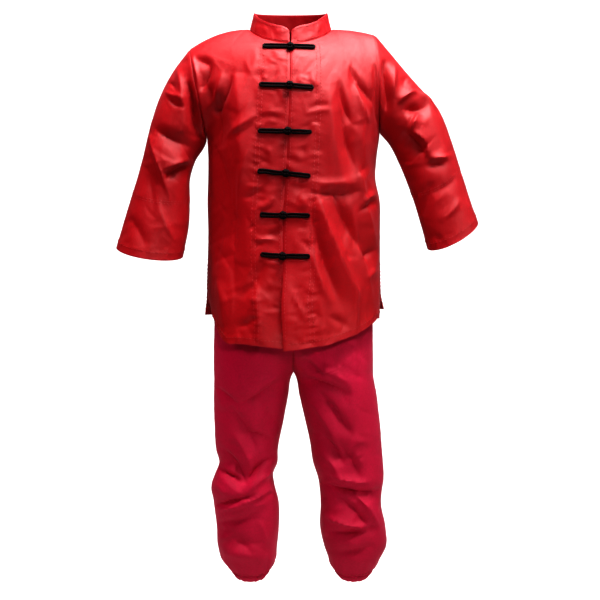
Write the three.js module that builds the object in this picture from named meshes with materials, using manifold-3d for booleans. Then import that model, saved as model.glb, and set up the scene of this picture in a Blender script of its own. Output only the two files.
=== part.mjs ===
// A child's tai chi uniform, filled out as if worn: a hip-length jacket with a stand collar, set-in
// sleeves, side vents and knotted frog fastenings, over loose trousers with an elastic waist and ankles.
//
// Frame: millimetres, +Z up, the wearer faces -Y, and the wearer's left is +X. The origin is the middle
// of the neck at the height where the collar meets the shoulder seams, where the wearer carries it.
//
// Each cloth piece is a grid of points on its outer face. Rows run up the piece and columns across it.
// The grid gets its folds, its neighbours' normals along the seams, half a seam gap off each sewn edge,
// and a wall behind it.

import * as THREE from "three";
import { mergeVertices } from "three/addons/utils/BufferGeometryUtils.js";
import Module from "manifold-3d";

const wasm = await Module();
wasm.setup();

// Cloth.
const WALL = 1.5; // twill with its seam allowances
const COLLAR_WALL = 2.4; // two layers with interfacing
const SEAM_GAP = 0.3;
const SAME_SEAM = 0.9; // edge points nearer than this belong to one seam
const FULL_TURN = 2 * Math.PI;
const QUARTER = Math.PI / 2;

// Jacket.
const JACKET_SQUARENESS = 2.4; // superellipse exponent of the body's rings
const NECK = { x: -5, halfWidth: 71, front: 62, back: 56, frontDrop: 31, backRise: 4 };
const COLLAR = { height: 29, lean: 7, gap: 2.4, roundWidth: 21, roundHeight: 12 };
// The hem's level, how far it rises and between which shares of the way to the side seam, and how much
// lower it hangs at the opening.
const HEM = {
  front: {
    right: { z: -548, rise: 45, from: 0.48, to: 0.82, point: 8 },
    left: { z: -548, rise: 43, from: 0.25, to: 0.82, point: 12 },
  },
  back: {
    right: { z: -546, rise: 47, from: 0.24, to: 0.68, point: 0 },
    left: { z: -546, rise: 57, from: 0.24, to: 0.68, point: 0 },
  },
  pointWidth: 0.3,
};
const VENT = { top: -450, gap: 0.03, drawnIn: { right: 15.6, left: 5 }, flare: { right: 3, left: 9 } };
const OVERLAP = { from: -425, amount: 5 }; // the left front laps the right one below the last frog

// Cloth grid of the jacket: columns across each front, rows below and above the armpit.
const FRONT_COLUMNS = 11;
const BODY_ROWS = 12;
const YOKE_ROWS = 10;
const SLEEVE_ROWS = 14;
const COLLAR_COLUMNS = 24; // between the rounded ends
const COLLAR_ROWS = 3;

// Half widths on the wearer's right and left, and depths, by height.
const JACKET_BODY = [
  { z: -600, right: 157, left: 158, front: 110, back: 106 },
  { z: -552, right: 155, left: 156, front: 109, back: 105 },
  { z: -480, right: 152, left: 153, front: 107, back: 102 },
  { z: -410, right: 150, left: 151, front: 104, back: 96 },
  { z: -350, right: 149, left: 151, front: 102, back: 91 },
  { z: -298, right: 150, left: 150, front: 103, back: 89 },
  { z: -263, right: 149, left: 143, front: 104, back: 90 },
  { z: -225, right: 149, left: 145, front: 106, back: 92 },
  { z: -185, right: 151, left: 150, front: 107, back: 94 },
  { z: -130, right: 151, left: 150, front: 105, back: 94 },
];

// Rows of the front and back above the armpit. at: share of the way to the shoulder seam. middle: the
// row's middle column. armhole: degrees round the armhole, 180 at the armpit and 0 at the shoulder tip.
const FRONT_YOKE = [
  { at: 0.3, centreY: -105, centreZ: -128, middleY: -89, middleZ: -136, armhole: 132 },
  { at: 0.57, centreY: -97, centreZ: -86, middleY: -76, middleZ: -84, armhole: 94 },
  { at: 0.8, centreY: -82, centreZ: -53, middleY: -48, middleZ: -33, armhole: 54 },
];
const BACK_YOKE = [
  { at: 0.3, centreY: 95, centreZ: -118, middleY: 84, middleZ: -134, armhole: 132 },
  { at: 0.57, centreY: 92, centreZ: -62, middleY: 74, middleZ: -82, armhole: 94 },
  { at: 0.8, centreY: 77, centreZ: -19, middleY: 45, middleZ: -30, armhole: 54 },
];
const MIDDLE_ACROSS = 0.63; // how far out the middle column lies
const NECK_COLUMNS = 5; // columns of a front that end at the neckline

// Sleeve rings by share of the sleeve's length. outer and inner: the ring's ends in the front view. The
// front of the cuff hangs lower than its ends by CUFF_DROP.
const CUFF_DROP = 14;
const SLEEVE = {
  right: [
    { at: 0, outerX: -182, outerZ: -36, innerX: -151, innerZ: -192, depth: 60, y: 0 },
    { at: 0.15, outerX: -213, outerZ: -79, innerX: -157, innerZ: -207, depth: 58, y: -1 },
    { at: 0.32, outerX: -237, outerZ: -127, innerX: -172, innerZ: -231, depth: 54, y: -4 },
    { at: 0.5, outerX: -254, outerZ: -188, innerX: -181, innerZ: -263, depth: 50, y: -8 },
    { at: 0.66, outerX: -268, outerZ: -248, innerX: -181, innerZ: -292, depth: 46, y: -12 },
    { at: 0.83, outerX: -288, outerZ: -314, innerX: -182, innerZ: -343, depth: 45, y: -17 },
    { at: 1, outerX: -307, outerZ: -381, innerX: -192, innerZ: -398, depth: 46, y: -22 },
  ],
  left: [
    { at: 0, outerX: 143, outerZ: -11, innerX: 150, innerZ: -181, depth: 60, y: 0 },
    { at: 0.15, outerX: 184, outerZ: -60, innerX: 156, innerZ: -187, depth: 57, y: 0 },
    { at: 0.32, outerX: 218, outerZ: -100, innerX: 169, innerZ: -204, depth: 54, y: -4 },
    { at: 0.5, outerX: 254, outerZ: -144, innerX: 183, innerZ: -233, depth: 52, y: -9 },
    { at: 0.66, outerX: 274, outerZ: -196, innerX: 197, innerZ: -266, depth: 48, y: -16 },
    { at: 0.83, outerX: 296, outerZ: -268, innerX: 213, innerZ: -314, depth: 45, y: -24 },
    { at: 1, outerX: 318, outerZ: -337, innerX: 233, innerZ: -385, depth: 45, y: -32 },
  ],
};

// The front opening's line, by height.
const OPENING_LINE = [
  { z: -600, x: -12 },
  { z: -540, x: -13 },
  { z: -470, x: -16 },
  { z: -399, x: -18 },
  { z: -330, x: -17 },
  { z: -259, x: -12.5 },
  { z: -188, x: -9 },
  { z: -110, x: -6 },
  { z: -31, x: -5 },
];

// Trousers. The rings of a leg by height: outer edge and centre line in the front view, half depths, and
// the middle's y. Above the crotch the centre line moves to x 0, and the two legs' rings meet there.
const LEG_SQUARENESS = 2.2;
const CROTCH_Z = -599;
const LEG_COLUMNS = 14; // across each front or back of a leg
const LEG_ROWS = 14; // from the ankle to the crotch
const HIP_ROWS = [-592, -582, -568, -545, -512, -475, -435, -390, -345];
const WAIST_Z = HIP_ROWS[HIP_ROWS.length - 1];
const WAISTBAND_HEIGHT = 27;
const HIPS = [
  { z: -599, outer: 139, centre: 69.5, front: 79, back: 84, y: 0 },
  { z: -585, outer: 139, centre: 64, front: 81, back: 86, y: 0 },
  { z: -560, outer: 139, centre: 50, front: 84, back: 89, y: 0 },
  { z: -530, outer: 139, centre: 28, front: 85, back: 90, y: 0 },
  { z: -485, outer: 137, centre: 6, front: 84, back: 89, y: 0 },
  { z: -440, outer: 131, centre: 0, front: 82, back: 85, y: 0 },
  { z: -390, outer: 121, centre: 0, front: 80, back: 80, y: 0 },
  { z: -345, outer: 108, centre: 0, front: 77, back: 76, y: 0 },
  { z: -318, outer: 105, centre: 0, front: 76, back: 75, y: 0 },
];
const LEG = {
  right: [
    { z: -941, outer: 109, centre: 75, front: 33, back: 32, y: 4 },
    { z: -933, outer: 117, centre: 76, front: 40, back: 38, y: 4 },
    { z: -922, outer: 126, centre: 78, front: 47, back: 45, y: 3 },
    { z: -908, outer: 131, centre: 80, front: 51, back: 49, y: 2 },
    { z: -868, outer: 134, centre: 79.7, front: 52, back: 51, y: 0 },
    { z: -823, outer: 140, centre: 83.2, front: 55, back: 54, y: -2 },
    { z: -795, outer: 143, centre: 88.2, front: 56, back: 54, y: -3 },
    { z: -775, outer: 137, centre: 86.2, front: 51, back: 52, y: -2 },
    { z: -758, outer: 130, centre: 79.2, front: 50, back: 52, y: -1 },
    { z: -735, outer: 135, centre: 81.2, front: 54, back: 56, y: 0 },
    { z: -683, outer: 138, centre: 77.7, front: 62, back: 65, y: 0 },
    { z: -640, outer: 139, centre: 74.2, front: 71, back: 75, y: 0 },
  ],
  left: [
    { z: -941, outer: 139, centre: 105, front: 32, back: 32, y: 4 },
    { z: -933, outer: 145.5, centre: 105, front: 37, back: 36, y: 4 },
    { z: -922, outer: 151.5, centre: 106, front: 43, back: 41, y: 3 },
    { z: -908, outer: 160.5, centre: 108, front: 49, back: 47, y: 2 },
    { z: -868, outer: 160.5, centre: 103.5, front: 52, back: 51, y: 0 },
    { z: -830, outer: 153.5, centre: 100.5, front: 51, back: 50, y: -2 },
    { z: -806, outer: 154.5, centre: 100.5, front: 51, back: 51, y: -2 },
    { z: -785, outer: 157.5, centre: 100.5, front: 54, back: 54, y: -1 },
    { z: -757, outer: 156.5, centre: 95.5, front: 58, back: 57, y: 0 },
    { z: -718, outer: 153.5, centre: 91, front: 61, back: 62, y: 0 },
    { z: -683, outer: 150.5, centre: 85.5, front: 66, back: 67, y: 0 },
    { z: -640, outer: 145.5, centre: 78, front: 73, back: 76, y: 0 },
  ],
};
const ANKLE_TILT = { from: -890, to: -941, drop: 12 }; // the cuffs dip at the front
const CUFF = { height: 15, taper: 6 };
const GATHER = { legDepth: 2.0, waistDepth: 2.2, fadeLength: 34 };

// Frog fastenings: heights where they cross the opening, and how far their ends lie from it and rise.
const CORD_RADIUS = 2.1;
const CORD_SPACING = 4.6; // between a frog's two cords
const CORD_SIDES = 6;
const FROG_STEPS = 5;
const FROG_CLEARANCE = 0.5;
const KNOT_RADIUS = 6.4;
const KNOT_RISE = 2.1; // of the knot over the cloth, on its neck
const LOOP_REACH = 2.2; // how far the loop's bend comes past its cords
const FROGS = [
  { z: -40, right: 46, left: 41, rightRise: 1, leftRise: -1 },
  { z: -110, right: 50, left: 39, rightRise: 2, leftRise: -3 },
  { z: -188, right: 49, left: 39, rightRise: 1, leftRise: -1 },
  { z: -259, right: 46, left: 40, rightRise: 4, leftRise: -4 },
  { z: -330, right: 38, left: 43, rightRise: 1, leftRise: 0 },
  { z: -399, right: 36, left: 45, rightRise: 3, leftRise: 0 },
];

// The largest folds. Each is a trough (depth below 0) or a ridge along a line in the front view, from
// (x1, z1) to (x2, z2), seen on the face that looks towards -Y (front) or +Y (back).
const FRONT_RIGHT_FOLDS = [
  { x1: -168, z1: -62, x2: -150, z2: -104, width: 24, depth: -7 },
  { x1: -150, z1: -100, x2: -118, z2: -215, width: 30, depth: -7 },
  { x1: -122, z1: -96, x2: -88, z2: -300, width: 36, depth: 5 },
  { x1: -128, z1: -250, x2: -140, z2: -430, width: 34, depth: -5 },
  { x1: -95, z1: -240, x2: -100, z2: -470, width: 30, depth: -5 },
  { x1: -20, z1: -425, x2: -22, z2: -570, width: 34, depth: -9 },
  { x1: -66, z1: -440, x2: -62, z2: -560, width: 30, depth: 4 },
];
const FRONT_LEFT_FOLDS = [
  { x1: -14, z1: -430, x2: -16, z2: -570, width: 30, depth: 3 },
  { x1: 96, z1: -74, x2: 138, z2: -150, width: 26, depth: -7 },
  { x1: 84, z1: -120, x2: 104, z2: -250, width: 28, depth: -7 },
  { x1: 60, z1: -110, x2: 92, z2: -290, width: 30, depth: 5 },
  { x1: 118, z1: -130, x2: 122, z2: -300, width: 26, depth: 5 },
  { x1: 46, z1: -300, x2: 104, z2: -480, width: 32, depth: 6 },
  { x1: 72, z1: -290, x2: 138, z2: -420, width: 34, depth: -7 },
  { x1: 22, z1: -349, x2: 96, z2: -342, width: 22, depth: -5 },
];
const BACK_FOLDS = [
  { x1: -150, z1: -120, x2: -70, z2: -250, width: 34, depth: -6 },
  { x1: 146, z1: -118, x2: 78, z2: -240, width: 34, depth: -6 },
  { x1: -40, z1: -60, x2: -52, z2: -300, width: 40, depth: 4 },
  { x1: 52, z1: -70, x2: 44, z2: -320, width: 38, depth: 4 },
  { x1: -98, z1: -300, x2: -112, z2: -545, width: 34, depth: -7 },
  { x1: -44, z1: -330, x2: -38, z2: -545, width: 32, depth: -6 },
  { x1: 32, z1: -320, x2: 40, z2: -545, width: 34, depth: -7 },
  { x1: 96, z1: -310, x2: 112, z2: -545, width: 32, depth: -6 },
];
const SLEEVE_RIGHT_FOLDS = [
  { x1: -168, z1: -100, x2: -170, z2: -185, width: 26, depth: -9, face: "front" },
  { x1: -240, z1: -170, x2: -196, z2: -215, width: 24, depth: -6, face: "front" },
  { x1: -250, z1: -205, x2: -190, z2: -262, width: 26, depth: 6, face: "front" },
  { x1: -232, z1: -268, x2: -188, z2: -250, width: 20, depth: -8, face: "front" },
  { x1: -228, z1: -180, x2: -182, z2: -236, width: 26, depth: -6, face: "back" },
  { x1: -250, z1: -262, x2: -192, z2: -282, width: 24, depth: -6, face: "back" },
];
const SLEEVE_LEFT_FOLDS = [
  { x1: 157, z1: -62, x2: 155, z2: -150, width: 16, depth: -9, face: "front" },
  { x1: 228, z1: -116, x2: 190, z2: -190, width: 28, depth: -9, face: "front" },
  { x1: 246, z1: -150, x2: 206, z2: -186, width: 22, depth: 6, face: "front" },
  { x1: 238, z1: -200, x2: 200, z2: -236, width: 28, depth: -9, face: "front" },
  { x1: 268, z1: -236, x2: 214, z2: -246, width: 20, depth: 5, face: "front" },
  { x1: 204, z1: -118, x2: 176, z2: -196, width: 28, depth: -7, face: "back" },
  { x1: 262, z1: -222, x2: 212, z2: -250, width: 26, depth: -7, face: "back" },
];
const LEG_RIGHT_FOLDS = [
  { x1: -96, z1: -650, x2: -30, z2: -622, width: 22, depth: -6, face: "front" },
  { x1: -112, z1: -655, x2: -62, z2: -735, width: 30, depth: -5, face: "front" },
  { x1: -86, z1: -712, x2: -36, z2: -732, width: 20, depth: -5, face: "front" },
  { x1: -118, z1: -738, x2: -82, z2: -800, width: 22, depth: -6, face: "front" },
  { x1: -40, z1: -742, x2: -92, z2: -798, width: 26, depth: -7, face: "front" },
  { x1: -136, z1: -806, x2: -76, z2: -822, width: 18, depth: -6, face: "front" },
  { x1: -128, z1: -838, x2: -48, z2: -812, width: 20, depth: 5, face: "front" },
  { x1: -116, z1: -912, x2: -46, z2: -920, width: 20, depth: 4, face: "front" },
  { x1: -128, z1: -700, x2: -48, z2: -640, width: 32, depth: -6, face: "back" },
  { x1: -134, z1: -776, x2: -40, z2: -770, width: 22, depth: -7, face: "back" },
  { x1: -128, z1: -836, x2: -48, z2: -806, width: 24, depth: -6, face: "back" },
];
const LEG_LEFT_FOLDS = [
  { x1: 28, z1: -598, x2: 82, z2: -640, width: 24, depth: -6, face: "front" },
  { x1: 34, z1: -650, x2: 102, z2: -646, width: 20, depth: -6, face: "front" },
  { x1: 36, z1: -668, x2: 96, z2: -742, width: 28, depth: -6, face: "front" },
  { x1: 62, z1: -716, x2: 116, z2: -790, width: 32, depth: -6, face: "front" },
  { x1: 62, z1: -792, x2: 146, z2: -806, width: 18, depth: -6, face: "front" },
  { x1: 70, z1: -812, x2: 128, z2: -866, width: 26, depth: -7, face: "front" },
  { x1: 62, z1: -868, x2: 140, z2: -884, width: 20, depth: 5, face: "front" },
  { x1: 76, z1: -908, x2: 142, z2: -896, width: 18, depth: -4, face: "front" },
  { x1: 52, z1: -640, x2: 130, z2: -700, width: 32, depth: -6, face: "back" },
  { x1: 58, z1: -790, x2: 146, z2: -800, width: 22, depth: -7, face: "back" },
  { x1: 60, z1: -852, x2: 140, z2: -822, width: 24, depth: -6, face: "back" },
];

const BLACK_CORD = { colour: "#170a0c", roughness: 0.75 };
const JACKET_RED = { colour: "#c00d1c", roughness: 0.5 };
const TROUSER_RED = { colour: "#b01434", roughness: 0.65 };

const mix = (a, b, t) => a + (b - a) * t;
const clamp = (t, low, high) => Math.min(high, Math.max(low, t));
const point = (x, y, z) => new THREE.Vector3(x, y, z);
const upTo = (n) => [...Array(n).keys()];

// 0 below a, 1 above b, and a soft step between.
function softStep(a, b, t) {
  const s = clamp((t - a) / (b - a), 0, 1);
  return s * s * (3 - 2 * s);
}

// A cubic from a value and slope at t 0 to those at t 1.
function hermite(from, slopeFrom, to, slopeTo, t) {
  const t2 = t * t;
  const t3 = t2 * t;
  const ends = (2 * t3 - 3 * t2 + 1) * from + (3 * t2 - 2 * t3) * to;
  return ends + (t3 - 2 * t2 + t) * slopeFrom + (t3 - t2) * slopeTo;
}

// A smooth curve through the knots (at, value), where a value is a number.
function curveThrough(knots, at) {
  const last = knots.length - 1;
  let i = 0;
  while (i < last - 1 && at > knots[i + 1].at) i += 1;
  const bay = (k) => (knots[k + 1].value - knots[k].value) / (knots[k + 1].at - knots[k].at);
  const slope = (k) => {
    if (k === 0) return bay(0);
    if (k === last) return bay(last - 1);
    const before = knots[k].at - knots[k - 1].at;
    const after = knots[k + 1].at - knots[k].at;
    return (bay(k) * before + bay(k - 1) * after) / (before + after);
  };
  const step = knots[i + 1].at - knots[i].at;
  const t = clamp((at - knots[i].at) / step, 0, 1);
  return hermite(knots[i].value, step * slope(i), knots[i + 1].value, step * slope(i + 1), t);
}

// A table's column, read against another column.
function read(table, column, at, key = "z") {
  return curveThrough(table.map((row) => ({ at: row[key], value: row[column] })), at);
}

// Superellipse coordinates at an angle: how far across, and how far out.
const signedPower = (value, power) => Math.sign(value) * Math.abs(value) ** power;
const across = (angle, squareness) => signedPower(Math.sin(angle), 2 / squareness);
const outward = (angle, squareness) => signedPower(Math.cos(angle), 2 / squareness);

const signOf = (side) => (side === "right" ? -1 : 1);

// The armhole: an ellipse through the shoulder tip and the armpit, 0 degrees at the tip.
function armholePoint(side, degrees, face) {
  const ring = SLEEVE[side][0];
  const angle = THREE.MathUtils.degToRad(degrees);
  const toTip = (1 + Math.cos(angle)) / 2;
  const y = ring.depth * Math.sin(angle) * (face === "front" ? -1 : 1);
  return point(mix(ring.innerX, ring.outerX, toTip), y, mix(ring.innerZ, ring.outerZ, toTip));
}

// The neckline, from the middle of the front or back (0) to the side of the neck (1).
function necklinePoint(side, t, face) {
  const angle = t * QUARTER;
  const depth = face === "front" ? -NECK.front : NECK.back;
  const rise = face === "front" ? -NECK.frontDrop : NECK.backRise;
  return point(
    NECK.x + signOf(side) * NECK.halfWidth * Math.sin(angle),
    depth * Math.cos(angle),
    rise * Math.cos(angle) ** 1.3,
  );
}

// The shoulder seam, from the neck (0) to the shoulder tip (1), bending down towards the tip.
function shoulderPoint(side, t) {
  const neck = necklinePoint(side, 1, "front");
  const tip = armholePoint(side, 0, "front");
  return point(mix(neck.x, tip.x, t), 0, tip.z * t * t);
}

// The height of the row that ends at the armpit. The two armpits differ, so the row meets in the middle.
function armpitZ(side, u) {
  const middle = (SLEEVE.right[0].innerZ + SLEEVE.left[0].innerZ) / 2;
  return mix(middle, SLEEVE[side][0].innerZ, u);
}

// How far round the armhole a yoke row ends, in degrees.
function armholeDegrees(face, s) {
  const rows = face === "front" ? FRONT_YOKE : BACK_YOKE;
  const knots = rows.map((row) => ({ at: row.at, value: row.armhole }));
  return curveThrough([{ at: 0, value: 180 }, ...knots, { at: 1, value: 0 }], s);
}

function hemZ(side, face, u) {
  const { z, rise, from, to, point } = HEM[face][side];
  const toPoint = point * clamp(1 - u / HEM.pointWidth, 0, 1);
  return z - toPoint + rise * clamp((u - from) / (to - from), 0, 1) ** 1.1;
}

// The jacket's ring at a height: u is 0 at the middle of the front or back and 1 at the side seam.
function bodyPoint(side, face, u, z) {
  const belowVent = softStep(VENT.top, VENT.top - 70, z);
  const angle = u * QUARTER * (1 - VENT.gap * belowVent);
  const flare = face === "back" ? VENT.flare[side] : -VENT.drawnIn[side];
  const halfWidth = read(JACKET_BODY, side, z) + flare * belowVent * u * u;
  const depth = read(JACKET_BODY, face, z) * (face === "front" ? -1 : 1);
  return point(
    signOf(side) * halfWidth * across(angle, JACKET_SQUARENESS),
    depth * outward(angle, JACKET_SQUARENESS),
    z,
  );
}

// A row of the yoke: a curve from the middle through the middle column to the armhole.
function yokeRowPoint(side, face, row, u) {
  const edge = armholePoint(side, row.armhole, face);
  const centre = point(0, row.centreY, row.centreZ);
  const middle = point(edge.x * MIDDLE_ACROSS, row.middleY, row.middleZ);
  const levelX = 2 * middle.x - centre.x;
  const along = (axis) => {
    const start = axis === "x" ? levelX / 2 : 0;
    const through = (edge[axis] - centre[axis]) / 2;
    const end = 2 * (edge[axis] - middle[axis]) - through;
    return u < 0.5
      ? hermite(centre[axis], start, middle[axis], through, u * 2)
      : hermite(middle[axis], through, edge[axis], end, u * 2 - 1);
  };
  return point(along("x"), along("y"), along("z"));
}

// The top edge: the neckline, then the shoulder seam.
function topPoint(side, face, u) {
  const neckShare = NECK_COLUMNS / FRONT_COLUMNS;
  return u <= neckShare
    ? necklinePoint(side, u / neckShare, face)
    : shoulderPoint(side, (u - neckShare) / (1 - neckShare));
}

// A front or half of the back above the armpit, s from 0 at the armpit to 1 at the top edge.
function yokePoint(side, face, u, s) {
  const table = face === "front" ? FRONT_YOKE : BACK_YOKE;
  const armpit = armpitZ(side, u);
  const below = bodyPoint(side, face, u, armpit - 55);
  const base = bodyPoint(side, face, u, armpit);
  const top = topPoint(side, face, u);
  const rows = table.map((row) => ({ at: row.at, place: yokeRowPoint(side, face, row, u) }));
  const knots = [{ at: -0.3, place: below }, { at: 0, place: base }, ...rows, { at: 1, place: top }];
  // Past the shoulder seam the cloth runs level, so the front and back meet without a ridge.
  const beyond = top.clone().multiplyScalar(2).sub(rows[rows.length - 1].place);
  const level = softStep(0.3, 0.5, u);
  beyond.z = mix(beyond.z, rows[rows.length - 1].place.z, level);
  knots.push({ at: 1.2, place: beyond });
  const along = (axis) => curveThrough(knots.map((k) => ({ at: k.at, value: k.place[axis] })), s);
  return point(along("x"), along("y"), along("z"));
}

// A jacket body point, v from 0 at the hem to 1 at the armpit, and on to 2 at the top edge.
function jacketPoint(side, face, u, v) {
  if (v <= 1) return bodyPoint(side, face, u, mix(hemZ(side, face, u), armpitZ(side, u), v));
  // The armhole edge follows the armhole exactly, and the cloth near it is drawn along.
  const edge = armholePoint(side, armholeDegrees(face, v - 1), face);
  const correction = edge.sub(yokePoint(side, face, 1, v - 1));
  return yokePoint(side, face, u, v - 1).addScaledVector(correction, u ** 4);
}

// Moves a front's middle, which is at startX, to the opening's line.
function toOpening(side, place, u, startX) {
  const lap = side === "left" ? OVERLAP.amount * softStep(OVERLAP.from, OVERLAP.from - 60, place.z) : 0;
  const shift = read(OPENING_LINE, "x", place.z) - lap - startX;
  place.x += shift * (1 - u) ** 2;
  return place;
}

const bodyRowShares = upTo(BODY_ROWS + YOKE_ROWS + 1).map((i) =>
  i <= BODY_ROWS ? i / BODY_ROWS : 1 + (i - BODY_ROWS) / YOKE_ROWS,
);

function frontGrid(side) {
  return bodyRowShares.map((v) => {
    const startX = jacketPoint(side, "front", 0, v).x;
    return upTo(FRONT_COLUMNS + 1).map((j) => {
      const u = j / FRONT_COLUMNS;
      const place = jacketPoint(side, "front", u, v);
      return v >= 2 ? place : toOpening(side, place, u, startX);
    });
  });
}

function backGrid() {
  return bodyRowShares.map((v) =>
    upTo(2 * FRONT_COLUMNS + 1).map((j) => {
      const side = j < FRONT_COLUMNS ? "right" : "left";
      return jacketPoint(side, "back", Math.abs(j / FRONT_COLUMNS - 1), v);
    }),
  );
}

// The degrees of a sleeve's columns: the yoke rows' ends, from the armpit up, then down the back.
function sleeveDegrees() {
  const up = upTo(YOKE_ROWS + 1).map((i) => armholeDegrees("front", i / YOKE_ROWS));
  const down = up.slice(1, -1).reverse().map((degrees) => 360 - degrees);
  return [...up, ...down];
}

function sleevePoint(side, degrees, t) {
  const rings = SLEEVE[side];
  const angle = THREE.MathUtils.degToRad(degrees);
  const value = (column) => read(rings, column, t, "at");
  const inner = point(value("innerX"), 0, value("innerZ"));
  const outer = point(value("outerX"), 0, value("outerZ"));
  const down = point(0, -signOf(side), 0).cross(outer.clone().sub(inner)).normalize();
  const place = inner.lerp(outer, (1 + Math.cos(angle)) / 2);
  place.y = value("y") - value("depth") * Math.sin(angle);
  return place.addScaledVector(down, -CUFF_DROP * Math.sin(angle) * softStep(0.35, 1, t));
}

function sleeveGrid(side) {
  const columns = sleeveDegrees();
  const ring = (t) => columns.map((degrees) => sleevePoint(side, degrees, t));
  return upTo(SLEEVE_ROWS + 1).map((i) => ring(i / SLEEVE_ROWS));
}

// The collar: a ring from the right front round the back to the left front, with rounded front ends.
// along is the length from the right end, in millimetres, and h the share of the collar's height.
function collarPoint(along, h) {
  const length = FULL_TURN * NECK.halfWidth;
  const angle = (along / length) * FULL_TURN;
  const toFront = Math.cos(angle);
  const depth = toFront > 0 ? NECK.front : NECK.back;
  const baseRise = toFront > 0 ? -NECK.frontDrop * toFront ** 1.3 : NECK.backRise * (-toFront) ** 1.3;
  const toRound = clamp(1 - (Math.min(along, length - along) - COLLAR.gap / 2) / COLLAR.roundWidth, 0, 1);
  const lean = COLLAR.lean * h;
  const height = COLLAR.height - COLLAR.roundHeight * (1 - Math.sqrt(1 - toRound ** 2));
  return point(
    NECK.x - (NECK.halfWidth - lean) * Math.sin(angle),
    -(depth - lean) * toFront,
    baseRise + SEAM_GAP * 2 + height * h,
  );
}

// Columns are close together at the rounded ends.
function collarGrid() {
  const length = FULL_TURN * NECK.halfWidth;
  const ends = [0, 2.5, 6.5, 13].map((step) => COLLAR.gap / 2 + step);
  const from = COLLAR.gap / 2 + COLLAR.roundWidth;
  const bay = (length - 2 * from) / COLLAR_COLUMNS;
  const between = upTo(COLLAR_COLUMNS + 1).map((j) => from + j * bay);
  const columns = [...ends, ...between, ...ends.map((step) => length - step).reverse()];
  const row = (h) => columns.map((along) => collarPoint(along, h));
  return upTo(COLLAR_ROWS + 1).map((i) => row(i / COLLAR_ROWS));
}

// A leg's ring, from its inner edge (0) to its outer edge (1), on one face.
function legPoint(side, face, u, z) {
  const table = [...LEG[side], ...HIPS];
  const outer = read(table, "outer", z);
  const centre = read(table, "centre", z);
  const depth = read(table, face, z) * (face === "front" ? -1 : 1);
  const half = outer - centre;
  const start = Math.acos(clamp(-centre / half, -1, 0));
  const angle = mix(start, 0, u);
  const legDepth = depth * outward(angle - QUARTER, LEG_SQUARENESS);
  const reach = -across(angle - QUARTER, LEG_SQUARENESS) * half;
  const x = u === 0 && z > CROTCH_Z - 1 ? 0 : centre + reach;
  const tilt = ANKLE_TILT.drop * softStep(ANKLE_TILT.from, ANKLE_TILT.to, z);
  return point(signOf(side) * x, read(table, "y", z) + legDepth, z + (tilt * legDepth) / Math.abs(depth));
}

const LEG_BOTTOM = LEG.right[0].z;
const legHeights = [
  ...upTo(LEG_ROWS + 1).map((i) => mix(LEG_BOTTOM, CROTCH_Z, (i / LEG_ROWS) ** 1.12)),
  ...HIP_ROWS,
];

// Elastic draws the cloth into small gathers: every other column stands out.
const gatherAt = (column, depth) => (column % 2 ? 0.5 : -0.5) * depth;

function legGrid(side, face) {
  return legHeights.map((z) => {
    const row = upTo(LEG_COLUMNS + 1).map((j) => legPoint(side, face, j / LEG_COLUMNS, z));
    const atAnkle = GATHER.legDepth * softStep(LEG_BOTTOM + GATHER.fadeLength, LEG_BOTTOM, z);
    const atWaist = GATHER.waistDepth * softStep(WAIST_Z - GATHER.fadeLength, WAIST_Z, z);
    const middle = point(signOf(side) * read([...LEG[side], ...HIPS], "centre", z), 0, z);
    return row.map((place, j) => {
      if (j === 0 || j === LEG_COLUMNS) return place;
      const out = place.clone().sub(middle).setZ(0).normalize();
      return place.addScaledVector(out, gatherAt(j, atAnkle + atWaist));
    });
  });
}

// A band that carries on from a ring of points, so its rows match the ring's columns.
function bandGrid(ring, rows, rowPlace) {
  return upTo(rows + 1).map((i) => ring.map((place) => rowPlace(place.clone(), i / rows)));
}

// A leg's ring of points at its bottom row: up the front from the inner edge, back along the back.
function ringOf(frontRow, backRow) {
  return [...frontRow, ...backRow.slice(1, -1).reverse()];
}

// Folds.
function foldDepth(fold, x, z) {
  const dx = fold.x2 - fold.x1;
  const dz = fold.z2 - fold.z1;
  const length2 = dx * dx + dz * dz;
  const t = clamp(((x - fold.x1) * dx + (z - fold.z1) * dz) / length2, 0, 1);
  const away = Math.hypot(x - fold.x1 - t * dx, z - fold.z1 - t * dz) / fold.width;
  const taper = 0.35 + 0.65 * Math.sin(Math.PI * clamp(t, 0.04, 0.96));
  return away >= 1 ? 0 : fold.depth * (1 - away * away) ** 2 * taper;
}

// A cloth piece: its grid of points, whether the columns close round, and the outer face's normals.
function makeCloth(name, points, closed = false) {
  return { name, points, closed, normals: normalsOf(points, closed) };
}

function normalsOf(points, closed) {
  const rows = points.length;
  const columns = points[0].length;
  return points.map((row, i) =>
    row.map((_, j) => {
      const left = closed ? points[i][(j + columns - 1) % columns] : points[i][Math.max(j - 1, 0)];
      const right = closed ? points[i][(j + 1) % columns] : points[i][Math.min(j + 1, columns - 1)];
      const low = points[Math.max(i - 1, 0)][j];
      const high = points[Math.min(i + 1, rows - 1)][j];
      return right.clone().sub(left).cross(high.clone().sub(low)).normalize();
    }),
  );
}

// Turns the normals round where they point into the garment. outwardAt gives the way out at a point,
// or is null for a closed ring, whose way out is away from its middle.
function facing(cloth, outwardAt = null) {
  const row = cloth.points[Math.floor(cloth.points.length / 2)];
  const normals = cloth.normals[Math.floor(cloth.points.length / 2)];
  const middle = row.reduce((sum, p) => sum.add(p), point(0, 0, 0)).divideScalar(row.length);
  const way = (p) => (outwardAt ? outwardAt(p) : p.clone().sub(middle));
  cloth.flipped = row.reduce((sum, p, j) => sum + normals[j].dot(way(p)), 0) < 0;
  if (cloth.flipped) cloth.normals.forEach((n) => n.forEach((normal) => normal.negate()));
  return cloth;
}

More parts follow.
